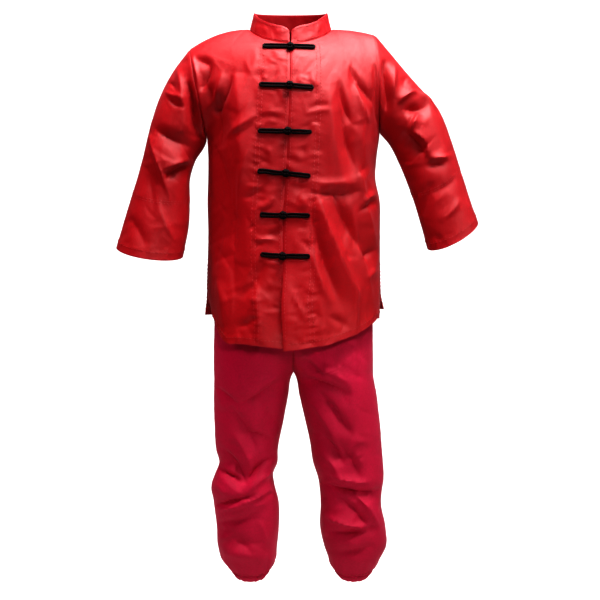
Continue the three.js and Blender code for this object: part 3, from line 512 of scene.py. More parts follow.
def grid_object(name: str, points: Array, uv: Array) -> bpy.types.Object:
    """Adds a grid and moves its points to their places.

    Args:
        name: The object's name.
        points: Rows of points in metres.
        uv: Texture coordinates of the points.

    Returns:
        The object, which is the only one selected.
    """
    rows, columns = points.shape[:2]
    bpy.ops.object.select_all(action="DESELECT")
    bpy.ops.mesh.primitive_grid_add(x_subdivisions=columns - 1, y_subdivisions=rows - 1, size=1)
    piece = bpy.context.object
    piece.name = piece.data.name = name
    if len(piece.data.vertices) != rows * columns:
        raise ValueError(f"{name}: the grid has {len(piece.data.vertices)} points, not {rows * columns}")
    piece.data.vertices.foreach_set("co", np.ravel(points).astype(np.float32))
    corner = np.empty(len(piece.data.loops), np.int32)
    piece.data.loops.foreach_get("vertex_index", corner)
    piece.data.uv_layers[0].data.foreach_set("uv", np.ravel(uv.reshape(-1, 2)[corner]).astype(np.float32))
    piece.data.update()
    return piece


def edit(piece: bpy.types.Object, merge: Optional[float] = None, flip: bool = False,
         outwards: bool = False) -> None:
    """Mends a whole mesh in edit mode.

    Args:
        piece: The object.
        merge: The distance within which points are merged, in metres.
        flip: Whether its faces are turned round.
        outwards: Whether its faces are made to point outwards.
    """
    bpy.context.view_layer.objects.active = piece
    bpy.ops.object.mode_set(mode="EDIT")
    bpy.ops.mesh.select_all(action="SELECT")
    if merge:
        bpy.ops.mesh.remove_doubles(threshold=merge)
    if flip:
        bpy.ops.mesh.flip_normals()
    if outwards:
        bpy.ops.mesh.normals_make_consistent(inside=False)
    bpy.ops.object.mode_set(mode="OBJECT")


def tube(name: str, path: Array, radius: float, finish: bpy.types.Material,
         ring: bool = False) -> bpy.types.Object:
    """Makes a round cord along a path, with closed rounded ends.

    Args:
        name: The object's name.
        path: Points in millimetres.
        radius: The cord's radius.
        finish: Its material.
        ring: Whether the path's ends meet.

    Returns:
        The finished object.
    """
    if ring:
        ahead = unit(np.roll(path, -1, axis=0) - np.roll(path, 1, axis=0))
    else:
        ahead = unit(np.gradient(path, axis=0))
    up = np.zeros_like(path)
    up[0] = unit(np.cross(ahead[0], (0.31, 0.2, 0.93)))
    for i in range(1, len(path)):
        up[i] = unit(up[i - 1] - ahead[i] * np.dot(up[i - 1], ahead[i]))
    if ring:
        # The frame comes back turned by some angle, which is spread over the whole way round.
        side_on = np.cross(ahead[0], up[0])
        back = unit(up[-1] - ahead[0] * np.dot(up[-1], ahead[0]))
        twist = math.atan2(float(np.dot(back, side_on)), float(np.dot(back, up[0])))
        spin = -twist * np.arange(len(path)) / len(path)
        up = up * np.cos(spin)[:, None] + np.cross(ahead, up) * np.sin(spin)[:, None]
    beside = np.cross(ahead, up)
    angle = np.linspace(0, 2 * math.pi, CORD_SIDES + 1)
    circle = np.cos(angle)[None, :, None] * up[:, None] + np.sin(angle)[None, :, None] * beside[:, None]
    size = np.full(len(path), radius)
    if not ring:
        size[[0, -1]], size[[1, -2]] = 0.02 * radius, 0.72 * radius
    points = path[:, None] + size[:, None, None] * circle
    if ring:
        points = np.concatenate([points, points[:1]])
    centre = points[:, :-1].mean(axis=1)
    along = np.concatenate([[0], np.cumsum(np.linalg.norm(np.diff(centre, axis=0), axis=1))])
    uv = np.stack(np.meshgrid(angle / (2 * math.pi), along * TO_METRES), axis=2)
    piece = grid_object(name, points * TO_METRES, uv)
    edit(piece, merge=SEAM_MERGE)
    edit(piece, merge=TIP_MERGE, outwards=True)
    bpy.ops.object.shade_smooth()
    piece.data.materials.append(finish)
    return piece


def join(name: str, pieces: Sequence[bpy.types.Object]) -> bpy.types.Object:
    """Joins objects into the first one, under a new name."""
    bpy.ops.object.select_all(action="DESELECT")
    for piece in pieces:
        piece.select_set(True)
    bpy.context.view_layer.objects.active = pieces[0]
    bpy.ops.object.join()
    pieces[0].name = pieces[0].data.name = name
    return pieces[0]


# Finishes


def linear(colour: str) -> tuple[float, float, float, float]:
    """Turns an sRGB hex colour to linear RGBA."""
    parts = [int(colour[i : i + 2], 16) / 255 for i in (1, 3, 5)]
    red, green, blue = (p / 12.92 if p <= 0.04045 else ((p + 0.055) / 1.055) ** 2.4 for p in parts)
    return (red, green, blue, 1.0)


def cleared(owner: bpy.types.ID) -> bpy.types.NodeTree:
    """Turns on a material's or world's nodes and takes them all out."""
    owner.use_nodes = True
    owner.node_tree.nodes.clear()
    return owner.node_tree


def add_node(tree: bpy.types.NodeTree, kind: str, inputs: Optional[dict] = None,
             **settings: object) -> bpy.types.Node:
    """Adds a node.

    Args:
        tree: The node tree.
        kind: The node's type, without the word ShaderNode that it starts with.
        inputs: Its inputs by name or number: sockets and other nodes are linked and values set.
        settings: Its properties.

    Returns:
        The node.
    """
    node = tree.nodes.new("ShaderNode" + kind)
    for key, value in settings.items():
        setattr(node, key, value)
    for key, value in (inputs or {}).items():
        if isinstance(value, bpy.types.Node):
            value = value.outputs[0]
        if isinstance(value, bpy.types.NodeSocket):
            tree.links.new(value, node.inputs[key])
        else:
            node.inputs[key].default_value = value
    return node


WAVE_REPEAT = 0.314  # a wave texture's bands repeat every so much of its scaled coordinate
FIBRE_IOR = 1.5  # of cotton and polyester


@dataclass(frozen=True)
class Finish:
    """A material, whose subclasses say how it looks."""

    name: str
    colour: str

    def make(self) -> bpy.types.Material:
        """Builds the material."""
        material = bpy.data.materials.new(self.name)
        tree = cleared(material)
        shader = self._shader(tree, add_node(tree, "TexCoord"))
        add_node(tree, "OutputMaterial", {"Surface": shader})
        return material

    def _shader(self, tree: bpy.types.NodeTree, place: bpy.types.Node) -> bpy.types.Node:
        """Adds the nodes of the finish, from its texture coordinates to its shader."""
        raise NotImplementedError


class Weave(Enum):
    """How the threads cross."""

    TWILL = "twill"
    PLAIN = "plain"


@dataclass(frozen=True)
class WovenCloth(Finish):
    """A dyed woven cotton and polyester cloth: mostly diffuse, with a soft wide gloss from its threads."""

    deep: str
    worn: str
    weave: Weave
    pitch: float  # of the drawn ribs or threads, in millimetres
    roughness: float
    gloss: float
    sheen: float
    sheen_tint: str
    relief: float  # of the drawn ribs, in millimetres

    def _shader(self, tree: bpy.types.NodeTree, place: bpy.types.Node) -> bpy.types.Node:
        """Adds the ribs and threads, the uneven dye, the wear along the edges and a fine slub."""
        scale = WAVE_REPEAT / (self.pitch * TO_METRES)
        turn = math.radians(58 if self.weave is Weave.TWILL else 0)
        mapped = add_node(tree, "Mapping", {"Vector": place.outputs["UV"], "Rotation": (0, 0, turn)})
        ribs, threads = (
            add_node(tree, "TexWave", {"Vector": mapped, "Scale": scale * closer, "Distortion": bent,
                     "Detail": 1.0, "Detail Scale": 0.4}, bands_direction=way)
            for closer, bent, way in ((1, 0.6, "X"), (0.83, 0.5, "Y")))
        share = 0.25 if self.weave is Weave.TWILL else 0.5
        height = add_node(tree, "Mix", {"Factor": share, 2: ribs.outputs["Fac"], 3: threads.outputs["Fac"]})
        slub = add_node(tree, "TexNoise", {"Vector": place.outputs["UV"], "Scale": 260.0, "Detail": 3.0})
        patches = add_node(tree, "TexNoise", {"Vector": place.outputs["Object"], "Scale": 11.0,
                           "Detail": 4.0, "Roughness": 0.6})
        rubbed = add_node(tree, "Attribute", attribute_name="wear")
        uneven, rub = (
            add_node(tree, "Math", {0: one.outputs["Fac"], 1: slub}, operation="MULTIPLY")
            for one in (patches, rubbed))
        spread = add_node(tree, "MapRange", {"Value": uneven, "From Min": 0.14, "From Max": 0.36})
        dye = add_node(tree, "Mix", {"Factor": spread, 6: linear(self.deep), 7: linear(self.colour)},
                       data_type="RGBA")
        worn = add_node(tree, "Mix", {"Factor": rub, 6: dye.outputs[2], 7: linear(self.worn)},
                        data_type="RGBA")
        bump = add_node(tree, "Bump", {"Height": height, "Strength": 1.0,
                        "Distance": self.relief * TO_METRES})
        fine = add_node(tree, "Bump", {"Height": slub, "Normal": bump, "Strength": 1.0,
                        "Distance": 0.12 * TO_METRES})
        dull = add_node(tree, "MapRange", {"Value": slub, "To Min": self.roughness - 0.06,
                        "To Max": self.roughness + 0.08})
        return add_node(tree, "BsdfPrincipled", {
            "Base Color": worn.outputs[2], "Roughness": dull, "Normal": fine, "IOR": FIBRE_IOR,
            "Specular IOR Level": self.gloss, "Sheen Weight": self.sheen, "Sheen Roughness": 0.42,
            "Sheen Tint": linear(self.sheen_tint)})


@dataclass(frozen=True)
class TwistedCord(Finish):
    """A dyed cotton cord, twisted of strands: matt, with painted shade in the gaps between the strands."""

    # the gap colour is painted shade between the strands
    gap: str
    twist: float  # length of one strand's slope along the cord, in millimetres
    relief: float  # of a strand, in millimetres

    def _shader(self, tree: bpy.types.NodeTree, place: bpy.types.Node) -> bpy.types.Node:
        """Adds the strands, the painted shade in the gaps between them, and the fluff on them."""
        # Once round the cord shifts the pattern by one strand, so it spirals without a break.
        mapped = add_node(tree, "Mapping", {"Vector": place.outputs["UV"],
                          "Scale": (1.0, 1 / (self.twist * TO_METRES), 1.0)})
        parts = add_node(tree, "SeparateXYZ", {0: mapped})
        slope = add_node(tree, "Math", {0: parts, 1: parts.outputs[1]}, operation="ADD")
        angle = add_node(tree, "Math", {0: slope, 1: 2 * math.pi}, operation="MULTIPLY")
        strand = add_node(tree, "Math", {0: angle}, operation="SINE")
        level = add_node(tree, "MapRange", {"Value": strand, "From Min": -1.0, "From Max": 1.0})
        # Painted shade: the colour darkens to the gap colour where the strands dip, between them.
        colour = add_node(tree, "Mix", {"Factor": level, 6: linear(self.gap), 7: linear(self.colour)},
                          data_type="RGBA")
        fluff = add_node(tree, "TexNoise", {"Vector": place.outputs["Object"], "Scale": 1400.0,
                         "Detail": 2.0})
        bump = add_node(tree, "Bump", {"Height": level, "Strength": 1.0,
                        "Distance": self.relief * TO_METRES})
        fine = add_node(tree, "Bump", {"Height": fluff, "Normal": bump, "Strength": 0.6,
                        "Distance": 0.2 * TO_METRES})
        return add_node(tree, "BsdfPrincipled", {
            "Base Color": colour.outputs[2], "Roughness": 0.72, "Normal": fine, "IOR": FIBRE_IOR,
            "Specular IOR Level": 0.22})


@dataclass(frozen=True)
class SpunThread(Finish):
    """Polyester sewing thread: a little glossier than the cloth that it holds."""

    def _shader(self, tree: bpy.types.NodeTree, place: bpy.types.Node) -> bpy.types.Node:
        """Adds the thread's fluff."""
        fluff = add_node(tree, "TexNoise", {"Vector": place.outputs["Object"], "Scale": 900.0})
        bump = add_node(tree, "Bump", {"Height": fluff, "Strength": 0.5, "Distance": 0.2 * TO_METRES})
        return add_node(tree, "BsdfPrincipled", {
            "Base Color": linear(self.colour), "Roughness": 0.45, "Normal": bump, "IOR": FIBRE_IOR})


# The ribs of the real twill are 0.5 mm apart, too fine to show, so they are drawn 1.5 mm apart.
JACKET_TWILL = WovenCloth("red_cotton_twill", "#ba0216", "#ae0210", "#cc2030", Weave.TWILL, pitch=1.5,
                          roughness=0.55, gloss=0.56, sheen=0.1, sheen_tint="#ffc4cc", relief=0.08)
# The real threads are 0.4 mm apart, and are drawn 1.4 mm apart for the same reason.
TROUSER_POPLIN = WovenCloth("crimson_cotton_poplin", "#d01446", "#c2103e", "#d63654", Weave.PLAIN, pitch=1.4,
                            roughness=0.7, gloss=0.4, sheen=0.15, sheen_tint="#ffa4b4", relief=0.08)
# Its second colour is the painted shade between the strands.
BLACK_CORD = TwistedCord("black_cotton_cord", "#140608", "#060203", twist=2.6, relief=0.5)
RED_THREAD = SpunThread("red_polyester_thread", "#b01820")


# Stitches


@dataclass
class Stitching:
    """Rows of topstitching, drawn coarser than the real 2.5 mm stitches so that they show."""

    finish: bpy.types.Material
    length: float = 4.4
    pitch: float = 6.4
    radius: float = 0.42
    middle: float = 0.55  # its straight middle, as a share of the length
    reach: float = 0.22  # how far each end goes past the middle, as a share of the length
    dip: float = 1.1  # how deep the ends go into the cloth, in radii
    rise: float = 0.25  # how far the middle stands up, in radii
    lift: float = 0.35  # how far the whole stitch stands on the cloth, in radii

    def _one(self) -> tuple[Array, Array]:
        """Models one stitch: a short bar that dips at both ends.

        Returns:
            Its points, along X and up Z, and its faces.
        """
        bpy.ops.object.select_all(action="DESELECT")
        bpy.ops.mesh.primitive_cylinder_add(vertices=6, radius=self.radius, depth=self.length * self.middle)
        stitch = bpy.context.object
        bpy.ops.object.mode_set(mode="EDIT")
        bpy.ops.mesh.select_all(action="SELECT")
        bpy.ops.transform.rotate(value=QUARTER, orient_axis="Y", center_override=(0, 0, 0))
        bpy.ops.mesh.quads_convert_to_tris()
        bpy.ops.object.mode_set(mode="OBJECT")
        points = np.array([v.co[:] for v in stitch.data.vertices])
        # The ends are pushed out and down into the cloth, and the middle stays up.
        ends = np.sign(points[:, 0])
        low = points.copy()
        low[:, 0] += ends * self.length * self.reach
        low[:, 2] -= self.radius * self.dip
        low[:, 1:] *= 0.7
        rise = self.radius * self.rise
        points[:, 2] += rise
        faces = np.array([p.vertices[:] for p in stitch.data.polygons])
        bpy.data.objects.remove(stitch)
        count = len(points)
        caps, body = ([f for f in faces if len({ends[k] for k in f}) == n] for n in (1, 2))
        rim = []
        for end in (-1, 1):
            around = [k for k in range(count) if ends[k] == end]
            around.sort(key=lambda k: math.atan2(points[k, 2] - rise, points[k, 1]))
            for a, b in zip(around, around[1:] + around[:1]):
                if end < 0:
                    a, b = b, a
                rim += [(a, b, b + count), (a, b + count, a + count)]
        tips = [tuple(k + count for k in f) for f in caps]
        return np.concatenate([points, low]), np.array([tuple(f) for f in body] + rim + tips)

    def build(self, name: str, lines: Sequence[Array]) -> bpy.types.Object:
        """Sets stitches along lines on the cloth.

        Args:
            name: The object's name.
            lines: Lines of points with normals.

        Returns:
            One object with all the stitches.
        """
        shape, faces = self._one()
        points, polygons = [], []
        for line in lines:
            length = float(np.linalg.norm(np.diff(line[:, :3], axis=0), axis=1).sum())
            count = max(2, int(length / self.pitch))
            spots = along_path(line, 2 * count + 1)
            for k in range(1, 2 * count, 2):
                ahead = unit(spots[k + 1, :3] - spots[k - 1, :3])
                up = unit(spots[k, 3:])
                beside = unit(np.cross(up, ahead))
                turn = np.stack([ahead, beside, np.cross(ahead, beside)])
                polygons.append(faces + len(points) * len(shape))
                points.append(spots[k, :3] + up * self.radius * self.lift + shape @ turn)
        mesh = bpy.data.meshes.new(name)
        places = (np.concatenate(points) * TO_METRES).tolist()
        mesh.from_pydata(places, [], np.concatenate(polygons).tolist())
        mesh.update()
        piece = bpy.data.objects.new(name, mesh)
        bpy.context.collection.objects.link(piece)
        bpy.ops.object.select_all(action="DESELECT")
        piece.select_set(True)
        edit(piece, outwards=True)
        bpy.ops.object.shade_smooth()
        mesh.materials.append(self.finish)
        return piece


# Garments


# The width and length that each piece is cut to, in metres.
CUT = {
    "front": (0.235, 0.575), "back": (0.43, 0.585), "sleeve": (0.335, 0.43), "collar": (0.435, 0.03),
    "leg": (0.235, 0.63), "ankle_cuff": (0.29, 0.016), "waistband": (0.62, 0.028),
}


class Hold(Enum):
    """What keeps a cloth in its place."""

    HUNG = "hung"
    GATHERED = "gathered"


@dataclass
class Garment:
    """Pieces of one cloth, sewn together."""

    cloth: bpy.types.Material
    stitching: Stitching
    slot: str = "jacket_cloth"
    hold: Hold = Hold.HUNG
    wall: float = 1.4

    def _sew_up(self, cloth: Cloth, node: str, lines: Sequence[Array], flat: tuple[float, float],
                wall: Optional[float] = None, round_rim: float = 0.35) -> None:
        """Builds one piece and its stitches, hangs them from the root empty and hides the solid that they
        stand for.

        Args:
            cloth: The piece.
            node: The solid that it stands for.
            lines: Its rows of stitches.
            flat: The width and length that it was cut to, in metres. Not used.
            wall: Its thickness, or None for the garment's.
            round_rim: Radius of its rims.
        """
        piece = cloth.build(wall or self.wall, self.cloth, round_rim)
        sewn = self.stitching.build(f"{node}_stitches", lines)
        for one in (piece, sewn):
            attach(one, "root")
        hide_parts(node)


# The jacket


def superellipse(angle: Array, squareness: float) -> tuple[Array, Array]:
    """How far across and how far out a squarish ring's point lies."""
    across, out = np.sin(angle), np.cos(angle)
    power = 2 / squareness
    return np.sign(across) * np.abs(across) ** power, np.sign(out) * np.abs(out) ** power


@dataclass(frozen=True)
class HemLine:
    """A hem's level, its rise between two shares of the way to the side, and its drop at the middle."""

    z: float
    rise: float
    start: float
    end: float
    drop: float
    drop_reach: float = 0.3  # share of the way to the side over which it drops


HEM_LINES = {
    (Face.FRONT, Side.RIGHT): HemLine(-548, 45, 0.48, 0.82, 8),
    (Face.FRONT, Side.LEFT): HemLine(-548, 43, 0.25, 0.82, 12),
    (Face.BACK, Side.RIGHT): HemLine(-546, 47, 0.24, 0.68, 0),
    (Face.BACK, Side.LEFT): HemLine(-546, 57, 0.24, 0.68, 0),
}
# Along each sleeve: its upper and lower edges in the front view, half its depth, and how far back it is.
SLEEVE_COLUMNS = ("at", "outer_x", "outer_z", "inner_x", "inner_z", "depth", "y")
SLEEVES = {
    Side.RIGHT: Table(SLEEVE_COLUMNS, (
        (0, -182, -36, -151, -192, 60, 0),
        (0.15, -213, -79, -157, -207, 58, -1),
        (0.32, -237, -127, -172, -231, 54, -4),
        (0.5, -254, -188, -181, -263, 50, -8),
        (0.66, -268, -248, -181, -292, 46, -12),
        (0.83, -288, -314, -182, -343, 45, -17),
        (1, -307, -381, -192, -398, 46, -22),
    )),
    Side.LEFT: Table(SLEEVE_COLUMNS, (
        (0, 143, -11, 150, -181, 60, 0),
        (0.15, 184, -60, 156, -187, 57, 0),
        (0.32, 218, -100, 169, -204, 54, -4),
        (0.5, 254, -144, 183, -233, 52, -9),
        (0.66, 274, -196, 197, -266, 48, -16),
        (0.83, 296, -268, 213, -314, 45, -24),
        (1, 318, -337, 233, -385, 45, -32),
    )),
}
# Half widths and half depths of the jacket's body at each height.
JACKET_RINGS = Table(("z", "right", "left", "front", "back"), (
    (-600, 157, 158, 110, 106),
    (-552, 155, 156, 109, 105),
    (-480, 152, 153, 107, 102),
    (-410, 150, 151, 104, 96),
    (-350, 149, 151, 102, 91),
    (-298, 150, 150, 103, 89),
    (-263, 149, 143, 104, 90),
    (-225, 149, 145, 106, 92),
    (-185, 151, 150, 107, 94),
    (-130, 151, 150, 105, 94),
))
OPENING_LINE = Table(("z", "x"), (
    (-600, -12), (-540, -13), (-470, -16), (-399, -18), (-330, -17), (-259, -12.5), (-188, -9), (-110, -6),
    (-31, -5),
))
HEM_FLARE = {  # how far out the hem's corners stand at the side vents, below 0 where they are drawn in
    (Face.FRONT, Side.RIGHT): -15.6,
    (Face.FRONT, Side.LEFT): -5,
    (Face.BACK, Side.RIGHT): 3,
    (Face.BACK, Side.LEFT): 9,
}
# Rows from the armpit (0) to the shoulder (1): where they start and bend, and where they meet the armhole.
YOKE_COLUMNS = ("at", "centre_y", "centre_z", "middle_y", "middle_z", "armhole")
YOKES = {
    Face.FRONT: Table(YOKE_COLUMNS, (
        (0.3, -105, -128, -89, -136, 132), (0.57, -97, -86, -76, -84, 94), (0.8, -82, -53, -48, -33, 54))),
    Face.BACK: Table(YOKE_COLUMNS, (
        (0.3, 95, -118, 84, -134, 132), (0.57, 92, -62, 74, -82, 94), (0.8, 77, -19, 45, -30, 54))),
}

# Creases, each by the across and up of both its ends, its width, depth, bow, crispness and lean.
FRONT_FOLDS = {
    Side.RIGHT: folds(
        (-172, -58, -140, -72, 16, -4, 3, 0.7), (-176, -52, -163, -120, 9, 3.5, 2, 0.6),
        (-140, -72, -164, -116, 16, -4.5, 3, 0.8, 0.4),
        (-120, -82, -150, -150, 17, 3.5, 4, 0.85, -0.3), (-104, -88, -138, -158, 19, -6, 4, 0.85, 0.4),
        (-150, -100, -126, -215, 26, -7, 6, 0.4), (-100, -90, -92, -300, 34, 5, 8, 0.2),
        (-116, -192, -60, -155, 15, 2.4, -4, 0.9, -0.5),
        (-112, -200, -66, -172, 14, -1.6, -4, 0.7, 0.4), (-58, -155, -14, -158, 8, 1.2, 2, 0.8),
        (-60, -166, -14, -168, 8, -1, 2, 0.6), (-140, -205, -110, -330, 26, -4, 8, 0.5),
        (-128, -250, -140, -430, 34, -5, 6, 0.3), (-72, -215, -96, -330, 18, 3, -6, 0.6),
        (-95, -240, -100, -470, 30, -5, -6, 0.35), (-44, -276, -84, -300, 10, -2.2, 4, 0.8),
        (-22, -352, -58, -368, 9, -2.4, 3, 0.8), (-24, -374, -66, -372, 9, 2, -3, 0.7),
        (-34, -300, -60, -318, 9, 2, 3, 0.8), (-20, -425, -22, -570, 30, -4, 0, 0.2),
        (-66, -440, -62, -560, 30, 4, 5, 0.4), (-50, -410, -92, -470, 18, -3, 6, 0.6),
        (-60, -500, -98, -520, 14, -2.5, 3, 0.7), (-130, -440, -118, -520, 18, 3.5, 4, 0.4),
    ),
    Side.LEFT: folds(
        (-14, -430, -16, -570, 30, 3, 0, 0.2), (96, -74, 138, -136, 20, -5, -4, 0.85, 0.4),
        (78, -100, 104, -180, 18, -5, -4, 0.9, 0.4), (108, -96, 128, -170, 15, 4, -4, 0.6),
        (84, -150, 112, -262, 24, -7, -6, 0.5, 0.3), (60, -110, 92, -290, 26, 4.5, -6, 0.3),
        (118, -130, 122, -300, 22, 5, -4, 0.4), (140, -72, 146, -170, 11, -6, 3, 0.5),
        (24, -150, 60, -142, 9, -1.1, 3, 0.8), (20, -160, 66, -152, 8, 1.2, 3, 0.8),
        (26, -291, 112, -289, 15, -4, -3, 0.7, 0.4), (28, -274, 108, -271, 13, 2.6, -3, 0.6),
        (38, -282, 114, -472, 22, 7, -6, 0.5, 0.3), (66, -284, 138, -410, 24, -7, -9, 0.5),
        (30, -330, 86, -490, 17, -4.5, -5, 0.5), (34, -400, 66, -480, 11, 3, -3, 0.6),
        (112, -322, 146, -304, 11, -3.4, 3, 0.8), (116, -308, 148, -288, 12, 3.2, 3, 0.7),
        (120, -406, 148, -384, 12, -3, 3, 0.7), (122, -440, 150, -420, 12, 2.6, 3, 0.6),
        (-4, -452, 24, -508, 7, 2.2, -2, 0.9), (104, -440, 106, -538, 12, 3.2, 2, 0.7),
        (14, -372, 30, -392, 9, -2.4, 2, 0.8), (6, -292, 24, -318, 12, 2.8, 2, 0.6),
        (100, -205, 142, -372, 20, 4.5, -4, 0.8, 0.4), (100, -314, 136, -470, 18, 3.6, -3, 0.9, 0.5),
        (60, -500, 92, -520, 12, -2.4, 2, 0.7),
    ),
}
BACK_FOLDS = folds(
    (-150, -120, -70, -250, 30, -6, -8, 0.5), (-158, -90, -96, -160, 20, 4, -6, 0.5),
    (146, -118, 78, -240, 30, -6, 8, 0.5), (150, -84, 94, -170, 18, -5, 5, 0.6),
    (-40, -60, -52, -300, 40, 4, 6, 0.2), (52, -70, 44, -320, 38, 4, 6, 0.2),
    (-120, -200, -60, -286, 18, 3.5, -6, 0.6), (124, -210, 66, -300, 18, 3.5, 6, 0.6),
    (-62, -330, 40, -344, 20, -2.8, 6, 0.5), (-90, -318, -10, -322, 16, 2.2, 4, 0.5),
    (20, -300, 100, -290, 18, -2.6, -5, 0.5), (-98, -300, -112, -545, 28, -7, 6, 0.35),
    (-72, -350, -78, -545, 20, 4, -4, 0.4), (-44, -330, -38, -545, 26, -6, 4, 0.35),
    (32, -320, 40, -545, 28, -7, 5, 0.35), (66, -360, 74, -545, 20, 4, 4, 0.4),
    (96, -310, 112, -545, 26, -6, 5, 0.35),
)
SLEEVE_FOLDS = {
    (Side.RIGHT, Face.FRONT): folds(
        (-184, -96, -162, -196, 22, -11, 2, 0.5), (-202, -70, -190, -150, 14, 3.5, 4, 0.6),
        (-226, -92, -202, -112, 9, -2.5, 3, 0.9), (-222, -112, -186, -126, 8, 2.6, -3, 0.9),
        (-218, -124, -184, -142, 10, -3, -3, 0.9), (-240, -178, -176, -210, 24, -7, -3, 0.6),
        (-224, -251, -180, -230, 22, 6, 2, 0.9, -0.6), (-220, -264, -178, -241, 15, -6.5, 2, 0.8, 0.5),
        (-251, -186, -212, -298, 16, 3.6, 0, 0.9, -0.5), (-262, -222, -240, -330, 24, -3, 5, 0.5),
        (-232, -300, -202, -374, 20, 2.5, -5, 0.7, 0.4), (-284, -330, -250, -392, 18, -2.5, 4, 0.5),
    ),
    (Side.RIGHT, Face.BACK): folds(
        (-228, -180, -182, -236, 24, -6, 5, 0.6), (-244, -210, -188, -262, 18, 5, 5, 0.8, 0.5),
        (-250, -262, -192, -282, 22, -6, 4, 0.7, 0.4), (-200, -90, -184, -160, 18, -4, 3, 0.5),
        (-276, -310, -214, -346, 18, -3.5, 4, 0.6),
    ),
    (Side.LEFT, Face.FRONT): folds(
        (158, -60, 160, -150, 11, -8, 0, 0.6), (176, -66, 174, -128, 14, 4, -3, 0.6),
        (200, -84, 190, -108, 12, -2, -3, 0.7), (180, -134, 212, -112, 15, 5.5, 2, 0.8, -0.4),
        (212, -112, 248, -141, 15, 5, 2, 0.8, -0.4), (188, -147, 234, -136, 22, -10, -2, 0.5, 0.2),
        (216, -150, 203, -184, 17, 6, -2, 0.8, -0.6), (203, -183, 231, -206, 15, 5.5, 2, 0.9, -0.6),
        (231, -205, 228, -229, 13, 4, 0, 0.9, -0.6), (188, -184, 222, -221, 25, -10, 2, 0.6, 0.4),
        (230, -231, 268, -228, 12, 4.2, 0, 0.9, -0.6), (226, -242, 262, -238, 12, -4, 0, 0.8, 0.5),
        (280, -262, 236, -290, 18, -2.5, 4, 0.6), (286, -300, 250, -340, 16, 2.5, 4, 0.6),
        (240, -270, 222, -330, 16, -2.5, -3, 0.6),
    ),
    (Side.LEFT, Face.BACK): folds(
        (204, -118, 176, -196, 22, -7, 5, 0.6), (226, -140, 190, -200, 16, 5, 5, 0.8, 0.5),
        (262, -222, 212, -250, 20, -7, 4, 0.7, 0.4), (290, -290, 236, -330, 18, -3.5, 4, 0.6),
    ),
}


